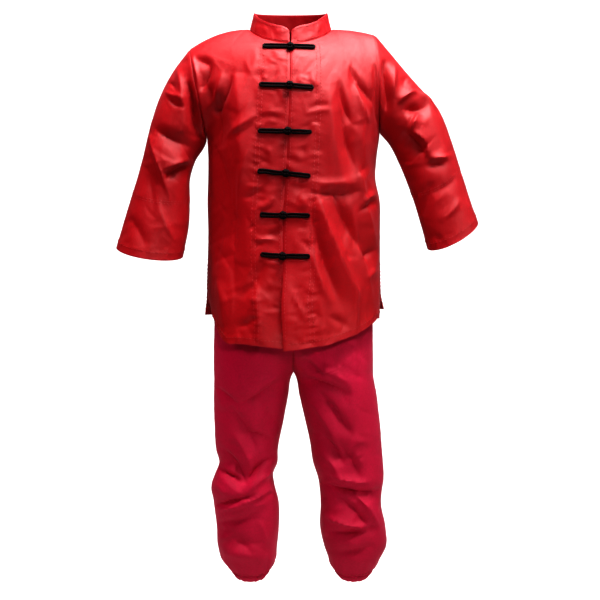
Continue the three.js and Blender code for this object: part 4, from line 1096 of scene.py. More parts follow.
@dataclass
class Jacket(Garment):
    """The jacket's panels, sleeves and collar."""

    squareness: float = 2.4
    collar_wall: float = 2.3
    collar_rim: float = 0.7
    front_folds: float = 1.5  # what the depths of the folds are multiplied by
    back_folds: float = 1.6
    sleeve_folds: float = 1.3
    body_rows: int = 116
    yoke_rows: int = 62
    half_columns: int = 66  # a multiple of 11, so that a column ends at the neck's corner
    sleeve_rows: int = 132
    sleeve_columns: int = 120
    neck_share: float = 5 / 11
    neck_x: float = -5
    neck_half_width: float = 71
    neck_depth: dict = field(default_factory=lambda: {Face.FRONT: 62, Face.BACK: 56})
    neck_rise: dict = field(default_factory=lambda: {Face.FRONT: -31, Face.BACK: 4})
    bend_share: float = 0.63  # where a yoke row bends, as a share of the way to the armhole
    facing_rows: tuple[float, ...] = (47.0, 54.0)
    facing: float = 52
    hem_depth: float = 13
    hem_stitches: float = 11
    side_stitches: float = 6
    sleeve_hem: float = 16
    sleeve_facing: float = 100  # how deep the facing inside the cuff is
    sleeve_rings: tuple[float, ...] = (13.0, 100.0, 104.0)
    lap: float = 5  # how far the left front laps over below the last frog
    lap_zone: tuple[float, float] = (-425, -485)
    vent: float = 0.03  # how far the hem's corners are drawn back, as a share of a half's width
    flare_zone: tuple[float, float] = (-450, -520)
    sleeve_opening_drop: float = 14
    collar_height: float = 29
    collar_corner: float = 21
    collar_corner_fall: float = 12
    collar_gap: float = 1.2
    collar_lean: float = 7
    fronts: dict = field(default_factory=dict)

    def _armhole(self, side: Side, degrees: Array, face: Face) -> Array:
        """Points of the armhole, 0 degrees at the shoulder tip and 180 at the armpit."""
        ring = dict(zip(SLEEVE_COLUMNS, SLEEVES[side].rows[0]))
        angle = np.radians(degrees)
        tip = (1 + np.cos(angle)) / 2
        y = ring["depth"] * np.sin(angle) * face.sign
        x = ring["inner_x"] + (ring["outer_x"] - ring["inner_x"]) * tip
        z = ring["inner_z"] + (ring["outer_z"] - ring["inner_z"]) * tip
        return np.stack(np.broadcast_arrays(x, y, z), axis=-1)

    def _neckline(self, side: Side, t: Array, face: Face) -> Array:
        """Points of the neckline, from the middle (0) to the side of the neck (1)."""
        angle = t * QUARTER
        out = np.maximum(np.cos(angle), 0)
        x = self.neck_x + side.sign * self.neck_half_width * np.sin(angle)
        y = face.sign * self.neck_depth[face] * out
        return np.stack([x, y, self.neck_rise[face] * out**1.3], axis=-1)

    def _armpit_z(self, side: Side, u: Array) -> Array:
        """Height of the row that ends at the armpit."""
        right, left = (SLEEVES[s].rows[0][4] for s in (Side.RIGHT, Side.LEFT))
        return (right + left) / 2 * (1 - u) + SLEEVES[side].rows[0][4] * u

    def _armhole_degrees(self, face: Face, s: Array) -> Array:
        """How far round the armhole a yoke row ends."""
        rows = YOKES[face].rows
        at = [0, *(row[0] for row in rows), 1]
        return curve_through(at, np.array([180, *(row[5] for row in rows), 0]), s)

    def _hem_z(self, side: Side, face: Face, u: Array) -> Array:
        """Height of the hem."""
        hem = HEM_LINES[face, side]
        share = np.clip((u - hem.start) / (hem.end - hem.start), 0, 1)
        return hem.z - hem.drop * np.clip(1 - u / hem.drop_reach, 0, 1) + hem.rise * share**1.1

    def _body(self, side: Side, face: Face, u: Array, z: Array) -> Array:
        """Points of the body's rings, u 0 at the middle of a face and 1 at the side seam."""
        below = smooth_step(*self.flare_zone, z)
        across, out = superellipse(u * QUARTER * (1 - self.vent * below), self.squareness)
        half = JACKET_RINGS.read(side.value, z) + HEM_FLARE[face, side] * below * u * u
        depth = face.sign * JACKET_RINGS.read(face.value, z)
        return np.stack([side.sign * half * across, depth * out, z], axis=-1)

    def _yoke_row(self, side: Side, face: Face, row: tuple[float, ...], u: Array) -> Array:
        """A row of the yoke, from the middle through its middle column to the armhole."""
        edge = self._armhole(side, np.array(row[5]), face)
        centre = np.array([0, row[1], row[2]])
        middle = np.array([edge[0] * self.bend_share, row[3], row[4]])
        start = np.array([(2 * middle[0] - centre[0]) / 2, 0, 0])
        through = (edge - centre) / 2
        last = 2 * (edge - middle) - through
        t = u[:, None]
        inner = hermite(centre, start, middle, through, t * 2)
        outer = hermite(middle, through, edge, last, t * 2 - 1)
        return np.where(t < 0.5, inner, outer)

    def _yoke(self, side: Side, face: Face, u: Array, s: Array) -> Array:
        """Points above the armpit, rows s by columns u."""
        armpit = self._armpit_z(side, u)
        rows = [self._yoke_row(side, face, row, u) for row in YOKES[face].rows]
        neck = self._neckline(side, np.clip(u / self.neck_share, 0, 1), face)
        tip = self._armhole(side, np.array(0.0), face)
        corner = self._neckline(side, np.array(1.0), face)
        t = np.clip((u - self.neck_share) / (1 - self.neck_share), 0, 1)
        shoulder = np.stack([corner[0] + (tip[0] - corner[0]) * t, 0 * t, tip[2] * t * t], axis=-1)
        top = np.where((u <= self.neck_share)[:, None], neck, shoulder)
        beyond = 2 * top - rows[-1]
        level = smooth_step(0.3, 0.5, u)
        beyond[:, 2] += (rows[-1][:, 2] - beyond[:, 2]) * level
        below, at_armpit = (self._body(side, face, u, armpit - drop) for drop in (55, 0))
        knots = [below, at_armpit, *rows, top, beyond]
        at = [-0.3, 0, *(row[0] for row in YOKES[face].rows), 1, 1.2]
        points = curve_through(at, np.stack(knots), s)
        edge = self._armhole(side, self._armhole_degrees(face, s), face)
        return points + (edge - points[:, -1])[:, None] * (u**4)[None, :, None]

    def _half(self, side: Side, face: Face, u: Array) -> Array:
        """A front, or a half of the back, from the hem to the shoulder seam."""
        v = np.arange(self.body_rows)[:, None] / self.body_rows
        hem, armpit = self._hem_z(side, face, u)[None], self._armpit_z(side, u)[None]
        body = self._body(side, face, np.broadcast_to(u, (len(v), len(u))), hem + (armpit - hem) * v)
        yoke = self._yoke(side, face, u, np.linspace(0, 1, self.yoke_rows + 1))
        return np.concatenate([body, yoke])

    def front(self, side: Side) -> Cloth:
        """One front, with its folds, its stitched facing line and its hem."""
        u = np.linspace(0, 1, self.half_columns + 1)
        points = self._half(side, Face.FRONT, u)
        lap = self.lap * smooth_step(*self.lap_zone, points[..., 2]) * (side is Side.LEFT)
        shift = OPENING_LINE.read("x", points[..., 2]) - lap - points[:, :1, 0]
        shift[-1] = 0
        points[..., 0] += shift * (1 - u) ** 2
        cloth = Cloth(f"front_{side.value}_cloth", points, (0, -1, 0))
        still = {Edge.END: SEAM_REACH, Edge.HIGH: SHOULDER_REACH}
        cloth.fold({Face.FRONT: FRONT_FOLDS[side]}, still, self.front_folds)
        middle, edge = OPENING_LINE.rows[0][1] + side.sign * 4, side.sign * 150
        strip = middle + side.sign * self.facing
        cloth.strew(
            Face.FRONT, still,
            Crumples((strip, -540), (edge, -60), 46, 71 + side.sign, 75, 40, (20, 80), 1.4),
            Crumples((middle, -560), (strip, -50), 100, 81 + side.sign, 0, 60, (8, 34), 1.7),
            Crumples((strip, -560), (edge, -430), 12, 91 + side.sign, 80, 20, (30, 90), 1.5),
        )
        cloth.ripple(0.45, 80, 3, still, (1, 1, 1.5))
        cloth.roughen(23, still)
        for distance in self.facing_rows:
            cloth.pucker(Edge.START, distance, 0.38, 13, 7)
        cloth.pucker(Edge.START, 7, 0.3, 17, 8)
        cloth.hem(Edge.LOW, self.hem_depth)
        cloth.sew(Edge.END)
        cloth.sew(Edge.HIGH)
        cloth.sew(Edge.START, roll=0.7, reach=3, gap=0.2)
        cloth.rub(Edge.START, 0.15, 2.5)
        self.fronts[side] = cloth
        return cloth

    def back(self) -> Cloth:
        """The back."""
        u = np.linspace(0, 1, self.half_columns + 1)
        right, left = (self._half(side, Face.BACK, u) for side in (Side.RIGHT, Side.LEFT))
        cloth = Cloth("back_cloth", np.concatenate([right[:, ::-1], left[:, 1:]], axis=1), (0, 1, 0))
        still = {Edge.START: SEAM_REACH, Edge.END: SEAM_REACH, Edge.HIGH: SHOULDER_REACH}
        cloth.fold({Face.BACK: BACK_FOLDS}, still, self.back_folds)
        cloth.strew(
            Face.BACK, still,
            Crumples((-150, -540), (150, -30), 80, 61, 75, 45, (20, 80), 1.5),
            Crumples((-150, -560), (150, -430), 20, 62, 80, 20, (30, 90), 1.6),
        )
        cloth.ripple(0.5, 80, 4, still, (1, 1, 1.5))
        cloth.roughen(24, still)
        cloth.hem(Edge.LOW, self.hem_depth)
        for edge in (Edge.START, Edge.END, Edge.HIGH):
            cloth.sew(edge)
        return cloth

    def sleeve(self, side: Side) -> Cloth:
        """A sleeve, from the armhole to the cuff."""
        table = SLEEVES[side]
        t = np.linspace(0, 1, self.sleeve_rows + 1)
        angle = np.radians(180 + np.arange(self.sleeve_columns) * 360 / self.sleeve_columns)
        value = {name: table.read(name, t)[:, None] for name in SLEEVE_COLUMNS[1:]}
        inner, outer = (
            np.stack([value[f"{edge}_x"], 0 * value[f"{edge}_x"], value[f"{edge}_z"]], axis=-1)
            for edge in ("inner", "outer"))
        down = unit(np.cross((0, -side.sign, 0), outer - inner))
        points = inner + (outer - inner) * ((1 + np.cos(angle)) / 2)[None, :, None]
        points[..., 1] = value["y"] - value["depth"] * np.sin(angle)[None, :]
        drop = -self.sleeve_opening_drop * np.sin(angle)[None, :] * smooth_step(0.35, 1, t)[:, None]
        cloth = Cloth(f"sleeve_{side.value}_cloth", points + down * drop[..., None], closed=True)
        still = {Edge.LOW: SEAM_REACH}
        cloth.fold({face: SLEEVE_FOLDS[side, face] for face in Face}, still, self.sleeve_folds)
        a = side.sign
        for face in Face:
            cloth.strew(
                face, still,
                Crumples((a * 150, -240), (a * 250, -40), 18, 41 + a, 55 * a, 35, (20, 60), 1.2),
                Crumples((a * 190, -390), (a * 310, -180), 24, 45 + a, 20 * a, 30, (20, 70), 1.2),
            )
        cloth.ripple(0.45, 70, 5, still, (1.2, 1, 1.2))
        cloth.roughen(25, still)
        cloth.pucker(Edge.HIGH, self.sleeve_facing, 0.4, 15, 9)
        cloth.hem(Edge.HIGH, self.sleeve_hem)
        cloth.sew(Edge.LOW, gap=0.3)
        return cloth

    def collar(self) -> Cloth:
        """The stand collar, with its rounded front ends."""
        length = 2 * math.pi * self.neck_half_width
        reach = self.collar_gap + self.collar_corner
        ends = self.collar_gap + self.collar_corner * (1 - np.cos(np.linspace(0, QUARTER, 12)))
        middle = np.linspace(reach, length - reach, 130)[1:-1]
        along = np.concatenate([ends, middle, (length - ends)[::-1]])[None, :]
        h = np.linspace(0, 1, 12)[:, None]
        angle = along / length * 2 * math.pi
        front = np.cos(angle)
        depth = np.where(front > 0, self.neck_depth[Face.FRONT], self.neck_depth[Face.BACK])
        rise = np.where(front > 0, self.neck_rise[Face.FRONT], self.neck_rise[Face.BACK]) * abs(front) ** 1.3
        from_end = np.minimum(along, length - along) - self.collar_gap
        to_round = np.clip(1 - from_end / self.collar_corner, 0, 1)
        height = self.collar_height - self.collar_corner_fall * (1 - np.sqrt(1 - to_round**2))
        lean = self.collar_lean * h
        x = self.neck_x - (self.neck_half_width - lean) * np.sin(angle)
        y = -(depth - lean) * front
        # It starts half a millimetre below the seam, so no light shows there.
        z = rise - 0.5 + (height + 0.6) * h
        cloth = Cloth("collar_cloth", np.stack(np.broadcast_arrays(x, y, z), axis=-1))
        dents = folds(
            (58, -6, 62, 26, 5, -2.2, 0, 0.8), (42, -14, 46, 8, 6, 1.2, 0, 0.6),
            (-66, -8, -60, 24, 7, 1.4, 0, 0.6), (-30, -24, -38, 2, 6, -1, 1, 0.6),
        )
        cloth.fold({Face.FRONT: dents}, {Edge.LOW: 8})
        cloth.strew(
            Face.FRONT, {Edge.LOW: 5, Edge.HIGH: 3, Edge.START: 5, Edge.END: 5},
            Crumples((-80, -30), (70, 28), 40, 51, 70, 50, (8, 26), 1.1),
        )
        cloth.ripple(0.35, 22, 12, {Edge.LOW: 5})
        cloth.pucker(Edge.HIGH, 5, 0.18, 9, 4)
        cloth.pucker(Edge.LOW, 4, 0.2, 11, 4)
        cloth.rub(Edge.HIGH, 0.8, 2.5)
        return cloth

    def build(self) -> None:
        """Builds every piece of the jacket, with its stitches."""
        for side in Side:
            cloth = self.front(side)
            lines = [cloth.line(Edge.START, d, 0.01, 0.985) for d in self.facing_rows]
            lines.append(cloth.line(Edge.LOW, self.hem_stitches, 0.02, 0.99))
            lines.append(cloth.line(Edge.START, 5, 0.03, 0.97))
            lines.append(cloth.line(Edge.END, self.side_stitches, 0.02, 0.2))
            self._sew_up(cloth, f"jacket_front_{side.value}", lines, CUT["front"])
        back = self.back()
        lines = [back.line(Edge.LOW, self.hem_stitches, 0.01, 0.99)]
        lines += [back.line(edge, self.side_stitches, 0.02, 0.27) for edge in (Edge.START, Edge.END)]
        self._sew_up(back, "jacket_back", lines, CUT["back"])
        for side in Side:
            sleeve = self.sleeve(side)
            rings = [closed_line(sleeve, Edge.HIGH, distance) for distance in self.sleeve_rings]
            self._sew_up(sleeve, f"sleeve_{side.value}", rings, CUT["sleeve"])
        collar = self.collar()
        lines = [collar.line(Edge.HIGH, 4), collar.line(Edge.LOW, 3.5, 0.02, 0.98)]
        self._sew_up(collar, "collar", lines, CUT["collar"], self.collar_wall, self.collar_rim)


# The trousers

# At each height: how far out a leg reaches, its middle, its half depths, and how far back it is.
LEG_COLUMNS = ("z", "outer", "centre", "front", "back", "y")
HIPS = Table(LEG_COLUMNS, (
    (-599, 139, 69.5, 79, 84, 0), (-585, 139, 64, 81, 86, 0), (-560, 139, 50, 84, 89, 0),
    (-530, 139, 28, 85, 90, 0), (-485, 137, 6, 84, 89, 0), (-440, 131, 0, 82, 85, 0),
    (-390, 121, 0, 80, 80, 0), (-345, 108, 0, 77, 76, 0), (-318, 105, 0, 76, 75, 0),
))
LEGS = {
    Side.RIGHT: Table(LEG_COLUMNS, (
        (-941, 109, 75, 33, 32, 4), (-933, 117, 76, 40, 38, 4), (-922, 126, 78, 47, 45, 3),
        (-908, 131, 80, 51, 49, 2), (-868, 134, 79.7, 52, 51, 0), (-823, 140, 83.2, 55, 54, -2),
        (-795, 143, 88.2, 56, 54, -3), (-775, 137, 86.2, 51, 52, -2), (-758, 130, 79.2, 50, 52, -1),
        (-735, 135, 81.2, 54, 56, 0), (-683, 138, 77.7, 62, 65, 0), (-640, 139, 74.2, 71, 75, 0),
    )).joined(HIPS),
    Side.LEFT: Table(LEG_COLUMNS, (
        (-941, 139, 105, 32, 32, 4), (-933, 145.5, 105, 37, 36, 4), (-922, 151.5, 106, 43, 41, 3),
        (-908, 160.5, 108, 49, 47, 2), (-868, 160.5, 103.5, 52, 51, 0), (-830, 153.5, 100.5, 51, 50, -2),
        (-806, 154.5, 100.5, 51, 51, -2), (-785, 157.5, 100.5, 54, 54, -1), (-757, 156.5, 95.5, 58, 57, 0),
        (-718, 153.5, 91, 61, 62, 0), (-683, 150.5, 85.5, 66, 67, 0), (-640, 145.5, 78, 73, 76, 0),
    )).joined(HIPS),
}
LEG_FOLDS = {
    (Side.RIGHT, Face.FRONT): folds(
        (-132, -624, -92, -654, 12, -3, 0, 0.9, 0.4), (-96, -652, -26, -614, 16, -5, -4, 0.95, 0.5),
        (-70, -612, -20, -600, 12, 2.6, -3, 0.8), (-112, -655, -62, -735, 26, -4.5, 6, 0.8, 0.4),
        (-62, -645, -30, -690, 18, -3, 4, 0.8, 0.3), (-84, -700, -36, -714, 14, -4.5, 3, 0.95, 0.5),
        (-120, -732, -80, -790, 20, -5, 5, 0.9, 0.5), (-104, -700, -70, -772, 18, 3, 4, 0.8),
        (-36, -746, -84, -790, 20, -6, -4, 0.9, 0.5), (-34, -768, -82, -808, 14, 4, -4, 0.8),
        (-134, -764, -84, -788, 14, -5, 3, 0.9, 0.5), (-138, -830, -66, -809, 13, -4.5, 2, 0.95, 0.5),
        (-126, -836, -36, -798, 13, 4, -4, 0.9, -0.4), (-132, -858, -60, -838, 18, -3, -4, 0.8, 0.4),
        (-112, -880, -70, -912, 20, -3, 4, 0.6), (-60, -850, -48, -900, 16, 2.6, 3, 0.6),
        (-116, -912, -46, -920, 18, 4, 3, 0.3),
    ),
    (Side.RIGHT, Face.BACK): folds(
        (-128, -700, -48, -640, 28, -6, 6, 0.7, 0.4), (-110, -730, -44, -700, 18, 4, 5, 0.8, 0.4),
        (-134, -776, -40, -770, 18, -7, 5, 0.8, 0.4), (-130, -800, -44, -790, 12, 4, 4, 0.8),
        (-128, -836, -48, -806, 20, -6, 4, 0.8, 0.4), (-120, -880, -60, -860, 18, -3, 4, 0.6),
    ),
    (Side.LEFT, Face.FRONT): folds(
        (12, -572, 50, -606, 14, -3.5, 2, 0.9, 0.4), (17, -608, 102, -636, 17, -5, 3, 0.95, 0.5),
        (36, -590, 96, -618, 14, 3, 4, 0.8, -0.3), (40, -628, 99, -702, 22, -5, 3, 0.95, 0.5),
        (34, -652, 84, -742, 20, 3.4, 5, 0.7, -0.4), (49, -706, 86, -756, 18, -4.5, 4, 0.9, 0.5),
        (72, -712, 118, -790, 24, -5, 6, 0.8, 0.4), (50, -738, 84, -784, 15, 3.4, 4, 0.8),
        (55, -791, 149, -803, 14, -6, -4, 0.95, 0.5), (66, -774, 132, -786, 13, 4, -4, 0.9, -0.4),
        (104, -804, 150, -872, 18, 4.5, 3, 0.9, -0.5), (74, -808, 128, -862, 20, -5, 4, 0.85, 0.4),
        (58, -848, 130, -866, 15, 4.5, -3, 0.9, -0.5), (62, -872, 138, -866, 16, -4, -3, 0.9, 0.5),
        (76, -908, 142, -896, 18, -4, -3, 0.6),
    ),
    (Side.LEFT, Face.BACK): folds(
        (52, -640, 130, -700, 28, -6, 6, 0.7, 0.4), (56, -700, 116, -750, 18, 4, 5, 0.8, 0.4),
        (58, -790, 146, -800, 17, -7, 4, 0.8, 0.4), (60, -822, 140, -826, 12, 4, 4, 0.8),
        (60, -852, 140, -822, 18, -6, 4, 0.8, 0.4),
    ),
}


def ring_turns(count: int) -> Array:
    """Angles of the points of a closed ring."""
    return np.linspace(0, 2 * math.pi, count, endpoint=False)[None, :]


@dataclass
class Trousers(Garment):
    """The trousers' panels, ankle cuffs and waistband."""

    slot: str = "trouser_cloth"
    hold: Hold = Hold.GATHERED
    squareness: float = 2.2
    crotch_z: float = -599
    bottom_z: float = -941
    waist_z: float = -345
    leg_rows: int = 118
    hip_rows: int = 74
    columns: int = 70
    gathers: int = 7  # across each front or back of a leg
    fold_strength: dict = field(default_factory=lambda: {Face.FRONT: 1.75, Face.BACK: 1.3})
    ankle_tilt: float = 12  # how far the leg's lower edge rises behind and falls in front
    ankle_reach: float = 51
    cuff_rows: int = 9
    cuff_height: float = 15
    cuff_draw: float = 11  # how far the elastic draws the cuff's lower edge in
    cuff_pleats: int = 28
    band_rows: int = 13
    band_height: float = 27
    band_pleats: int = 42
    panels: dict = field(default_factory=dict)

    def panel(self, side: Side, face: Face) -> Cloth:
        """A front or back of a leg, from the ankle to the waist."""
        table = LEGS[side]
        low = self.bottom_z + (self.crotch_z - self.bottom_z) * np.linspace(0, 1, self.leg_rows) ** 1.05
        high = np.linspace(self.crotch_z, self.waist_z, self.hip_rows + 1)[1:]
        z = np.concatenate([low, high])[:, None]
        u = np.linspace(0, 1, self.columns + 1)[None, :]
        outer, centre = table.read("outer", z), table.read("centre", z)
        depth = table.read(face.value, z) * face.sign
        half = outer - centre
        start = np.arccos(np.clip(-centre / half, -1, 0))
        across, out = superellipse(start * (1 - u) - QUARTER, self.squareness)
        leg_depth = depth * out
        x = centre - across * half
        x[(z[:, 0] > self.crotch_z - 1), 0] = 0
        near_ankle = smooth_step(self.bottom_z + self.ankle_reach, self.bottom_z, z)
        tilt = self.ankle_tilt * near_ankle * leg_depth / np.abs(depth)
        y = table.read("y", z) + leg_depth
        points = np.stack(np.broadcast_arrays(side.sign * x, y, z + tilt), axis=-1)
        cloth = Cloth(f"leg_{side.value}_{face.value}_cloth", points, (0, face.sign, 0))
        still = {Edge.LOW: 8, Edge.HIGH: 10, Edge.START: 8}
        for pressed in Face:
            cloth.fold({pressed: LEG_FOLDS[side, pressed]}, still, self.fold_strength[pressed])
        a, seed = side.sign, 11 + side.sign + 4 * face.sign
        cloth.strew(
            face, still,
            Crumples((a * 10, -720), (a * 140, -420), 36, seed, -25 * a, 35, (24, 90), 1.3),
            Crumples((a * 40, -930), (a * 160, -720), 44, seed + 20, 15 * a, 35, (20, 80), 1.6),
        )
        cloth.ripple(0.45, 70, 6, still, (1.3, 1, 1))
        cloth.roughen(26, still)
        clear = (smooth_step(0, 6, cloth.distance_from(edge)) for edge in (Edge.START, Edge.END))
        cloth.lift(self._gathers(u, z, side, face) * math.prod(clear))
        cloth.sew(Edge.START, roll=0.0, gap=0.1)
        cloth.sew(Edge.END, roll=0.6)
        cloth.sew(Edge.LOW, roll=0.5, reach=3)
        cloth.sew(Edge.HIGH, roll=0.5, reach=3)
        self.panels[side, face] = cloth
        return cloth

    def _gathers(self, u: Array, z: Array, side: Side, face: Face) -> Array:
        """Small uneven gathers that the elastic draws up at the ankle and waist."""
        shift = {Face.FRONT: 0.4, Face.BACK: 1.9}[face] + side.sign
        uneven = u + 0.012 * np.sin(2 * math.pi * 2.3 * u + shift)
        wave = -np.cos(2 * math.pi * self.gathers * uneven)
        sharp = wave + 0.35 * np.cos(4 * math.pi * self.gathers * uneven + shift)
        strength = 0.75 + 0.3 * np.sin(11 * u + 2 * shift)
        reach = 36 * (0.8 + 0.25 * np.sin(9 * u + shift))
        ankle = 0.75 * smooth_step(self.bottom_z + reach, self.bottom_z, z)
        waist = 1.3 * smooth_step(self.waist_z - 34, self.waist_z, z)
        return sharp * strength * (ankle + waist)

    def cuff(self, side: Side) -> Cloth:
        """The elastic casing at an ankle."""
        front, back = (self.panels[side, face].points[0] for face in Face)
        ring = np.concatenate([front, back[1:-1][::-1]])
        up = np.linspace(0, 1, self.cuff_rows)[:, None, None]
        centre = ring.mean(axis=0)
        reach = np.linalg.norm(ring - centre, axis=1)[None, :, None]
        points = centre + (ring - centre)[None] * (1 - (1 - up) ** 1.5 * self.cuff_draw / reach)
        points[..., 2] -= self.cuff_height * (1 - up[..., 0])
        cloth = Cloth(f"cuff_{side.value}_cloth", points, closed=True)
        turn, up = ring_turns(len(ring)), up[..., 0]
        pleats = np.sin(self.cuff_pleats * turn + 2 * np.sin(3 * turn))
        cloth.lift(0.45 * np.sin(math.pi * up) + 0.35 * pleats * (0.4 + 0.6 * up))
        cloth.sew(Edge.HIGH, roll=0.4, reach=3)
        return cloth

    def waistband(self) -> Cloth:
        """The elastic casing at the waist."""
        top = {key: panel.points[-1] for key, panel in self.panels.items()}
        ring = np.concatenate([
            top[Side.RIGHT, Face.FRONT], top[Side.RIGHT, Face.BACK][:-1][::-1],
            top[Side.LEFT, Face.BACK][1:], top[Side.LEFT, Face.FRONT][1:-1][::-1]])
        up = np.linspace(0, 1, self.band_rows)[:, None]
        points = np.repeat(ring[None], self.band_rows, axis=0)
        points[..., 2] += self.band_height * up
        cloth = Cloth("waistband_cloth", points, closed=True)
        turn = ring_turns(len(ring))
        rows = np.sin(math.pi * up) * 0.8 - 0.5 * np.exp(-(((up - 0.5) / 0.08) ** 2))
        pleats = np.sin(self.band_pleats * turn + 2 * np.sin(5 * turn))
        cloth.lift(rows + 0.5 * pleats * np.sin(math.pi * np.clip(up * 1.1, 0, 1)))
        cloth.sew(Edge.LOW, roll=0.4, reach=3)
        return cloth

    def build(self) -> None:
        """Builds every piece of the trousers, with its stitches."""
        for side in Side:
            for face in Face:
                cloth = self.panel(side, face)
                lines = [cloth.line(Edge.LOW, 4), cloth.line(Edge.START, 4, 0.62, 0.99)]
                self._sew_up(cloth, f"trouser_{side.value}_{face.value}", lines, CUT["leg"], round_rim=0)
        for side in Side:
            cuff = self.cuff(side)
            rings = [closed_line(cuff, Edge.HIGH, 3)]
            self._sew_up(cuff, f"ankle_cuff_{side.value}", rings, CUT["ankle_cuff"])
        band = self.waistband()
        rings = [closed_line(band, Edge.LOW, distance) for distance in (3, 13.5)]
        self._sew_up(band, "waistband", rings, CUT["waistband"])


# The frogs


@dataclass(frozen=True)
class Frog:
    """Where a frog crosses the opening, and how far its ends lie from it and rise."""

    z: float
    right: float
    left: float
    right_rise: float
    left_rise: float

    def opening(self) -> float:
        """How far across the opening's line lies at the frog."""
        return float(OPENING_LINE.read("x", np.array(float(self.z))))


@dataclass
class Frogs:
    """Six knot and loop fastenings of doubled cord."""

    cord: bpy.types.Material
    fronts: dict
    radius: float = 2.05
    spacing: float = 4.7  # between the two cords of a bar
    clearance: float = 0.35
    knot_radius: float = 6.4
    knot_rise: float = 2.1
    knot_off_opening: float = 3
    strand_radius: float = 1.95
    strand_path: float = 5  # radius of the ball that the knot's strands follow
    core_radius: float = 4.6
    neck_radius: float = 2.4
    knot_gap: float = 1.5  # between the knot's cords and the opening
    loop_gap: float = 1.4  # between the loop's cords and the knot
    loop_bow: Triple = (-4.2, -0.6, 0)  # how far the loop reaches past the knot's neck
    bar_points: int = 14
    knot_points: int = 132
    right_points: int = 74
    loop_points: int = 85
    rows: tuple[Frog, ...] = (
        Frog(-40, 46, 41, 1, -1), Frog(-110, 50, 39, 2, -3), Frog(-188, 49, 39, 1, -1),
        Frog(-259, 46, 40, 4, -4), Frog(-330, 38, 43, 1, 0), Frog(-399, 36, 45, 3, 0),
    )
    trees: dict = field(init=False)

    def __post_init__(self) -> None:
        """Makes search trees of the two fronts."""
        self.trees = {side: cloth.tree() for side, cloth in self.fronts.items()}

    def _on_front(self, side: Side, x: float, z: float, height: float) -> Array:
        """A point at a height over a front, where the camera's side sees it."""
        place, normal, _, _ = self.trees[side].ray_cast(Vector((x, -400, z)), Vector((0, 1, 0)))
        if place is None:
            place, normal, _, _ = self.trees[side].find_nearest(Vector((x, -105, z)))
        if normal.y > 0:
            normal = -normal
        return np.array(place + normal * height)

    def _bars(self, side: Side, frog: Frog, near: float) -> list[Array]:
        """The upper and lower cords of a half, each from its end to near the opening."""
        length = frog.right if side is Side.RIGHT else frog.left
        rise = frog.right_rise if side is Side.RIGHT else frog.left_rise
        opening, height = frog.opening(), self.radius + self.clearance
        away = np.linspace(length - self.radius, near, self.bar_points)
        made = []
        for offset in (self.spacing / 2, -self.spacing / 2):
            points = np.array([
                self._on_front(side, opening + side.sign * a, frog.z + rise * a / length + offset, height)
                for a in away])
            smooth = points.copy()
            smooth[1:-1] = (points[:-2] + 2 * points[1:-1] + points[2:]) / 4
            made.append(smooth)
        return made

    def _half_turn(self, start: Array, end: Array, way: Triple, count: int = 5) -> Array:
        """Points of a half turn between two cords' ends."""
        angle = np.linspace(-QUARTER, QUARTER, count + 2)[1:-1, None]
        return start + (end - start) * (1 + np.sin(angle)) / 2 + np.array(way) * np.cos(angle)

    def _knot(self, name: str, centre: Array) -> bpy.types.Object:
        """A ball button tied of one cord, three strands round and four bights."""
        t = np.linspace(0, 2 * math.pi, self.knot_points, endpoint=False)
        turn, tilt = 3 * t, np.radians(58) * np.sin(4 * t)
        reach = self.strand_path + 0.8 * np.cos(8 * t - math.pi / 3)
        # The knot's axis lies along Y, so its crossings face the front.
        path = np.stack([np.cos(tilt) * np.cos(turn), -np.sin(tilt), np.cos(tilt) * np.sin(turn)], axis=1)
        cord = tube(f"{name}_knot", centre + path * reach[:, None], self.strand_radius, self.cord, ring=True)
        bpy.ops.object.select_all(action="DESELECT")
        bpy.ops.mesh.primitive_uv_sphere_add(segments=14, ring_count=9, radius=self.core_radius * TO_METRES,
                                             location=tuple(centre * TO_METRES))
        core = bpy.context.object
        bpy.ops.object.transform_apply(location=True, rotation=True, scale=True)
        bpy.ops.object.shade_smooth()
        core.data.materials.append(self.cord)
        return join(f"{name}_ball", [cord, core])

    def _knot_half(self, name: str, frog: Frog) -> bpy.types.Object:
        """The half on the wearer's right, with its knot."""
        upper, lower = self._bars(Side.RIGHT, frog, self.knot_gap)
        outer = self._half_turn(upper[0], lower[0], (-self.radius, 0, 0))
        path = np.concatenate([upper[::-1], outer, lower])
        bar = tube(f"{name}_right_cord", along_path(path, self.right_points), self.radius, self.cord)
        on_cloth = self._on_front(Side.RIGHT, frog.opening() - self.knot_off_opening, frog.z, 0)
        rise = self.knot_radius + self.knot_rise + 0.3
        centre = on_cloth + np.array([self.knot_off_opening, -rise, 0])
        ball = self._knot(name, centre)
        # The neck of the knot comes up through the loop.
        neck_path = np.linspace(on_cloth - (0, 1.5, 0), centre + (0, 2, 0), 7)
        neck = tube(f"{name}_neck", neck_path, self.neck_radius, self.cord)
        return join(f"{name}_knot_cord", [bar, ball, neck])

    def _loop_half(self, name: str, frog: Frog) -> bpy.types.Object:
        """The half on the wearer's left, whose loop goes round the knot's neck."""
        upper, lower = self._bars(Side.LEFT, frog, self.knot_radius + self.loop_gap)
        outer = self._half_turn(lower[0], upper[0], (self.radius, 0, 0))
        inner = self._half_turn(upper[-1], lower[-1], self.loop_bow, 7)
        ring = np.concatenate([lower[::-1], outer, upper, inner])
        ring = along_path(np.concatenate([ring, ring[:1]]), self.loop_points)[:-1]
        return tube(f"{name}_loop_cord", ring, self.radius, self.cord, ring=True)

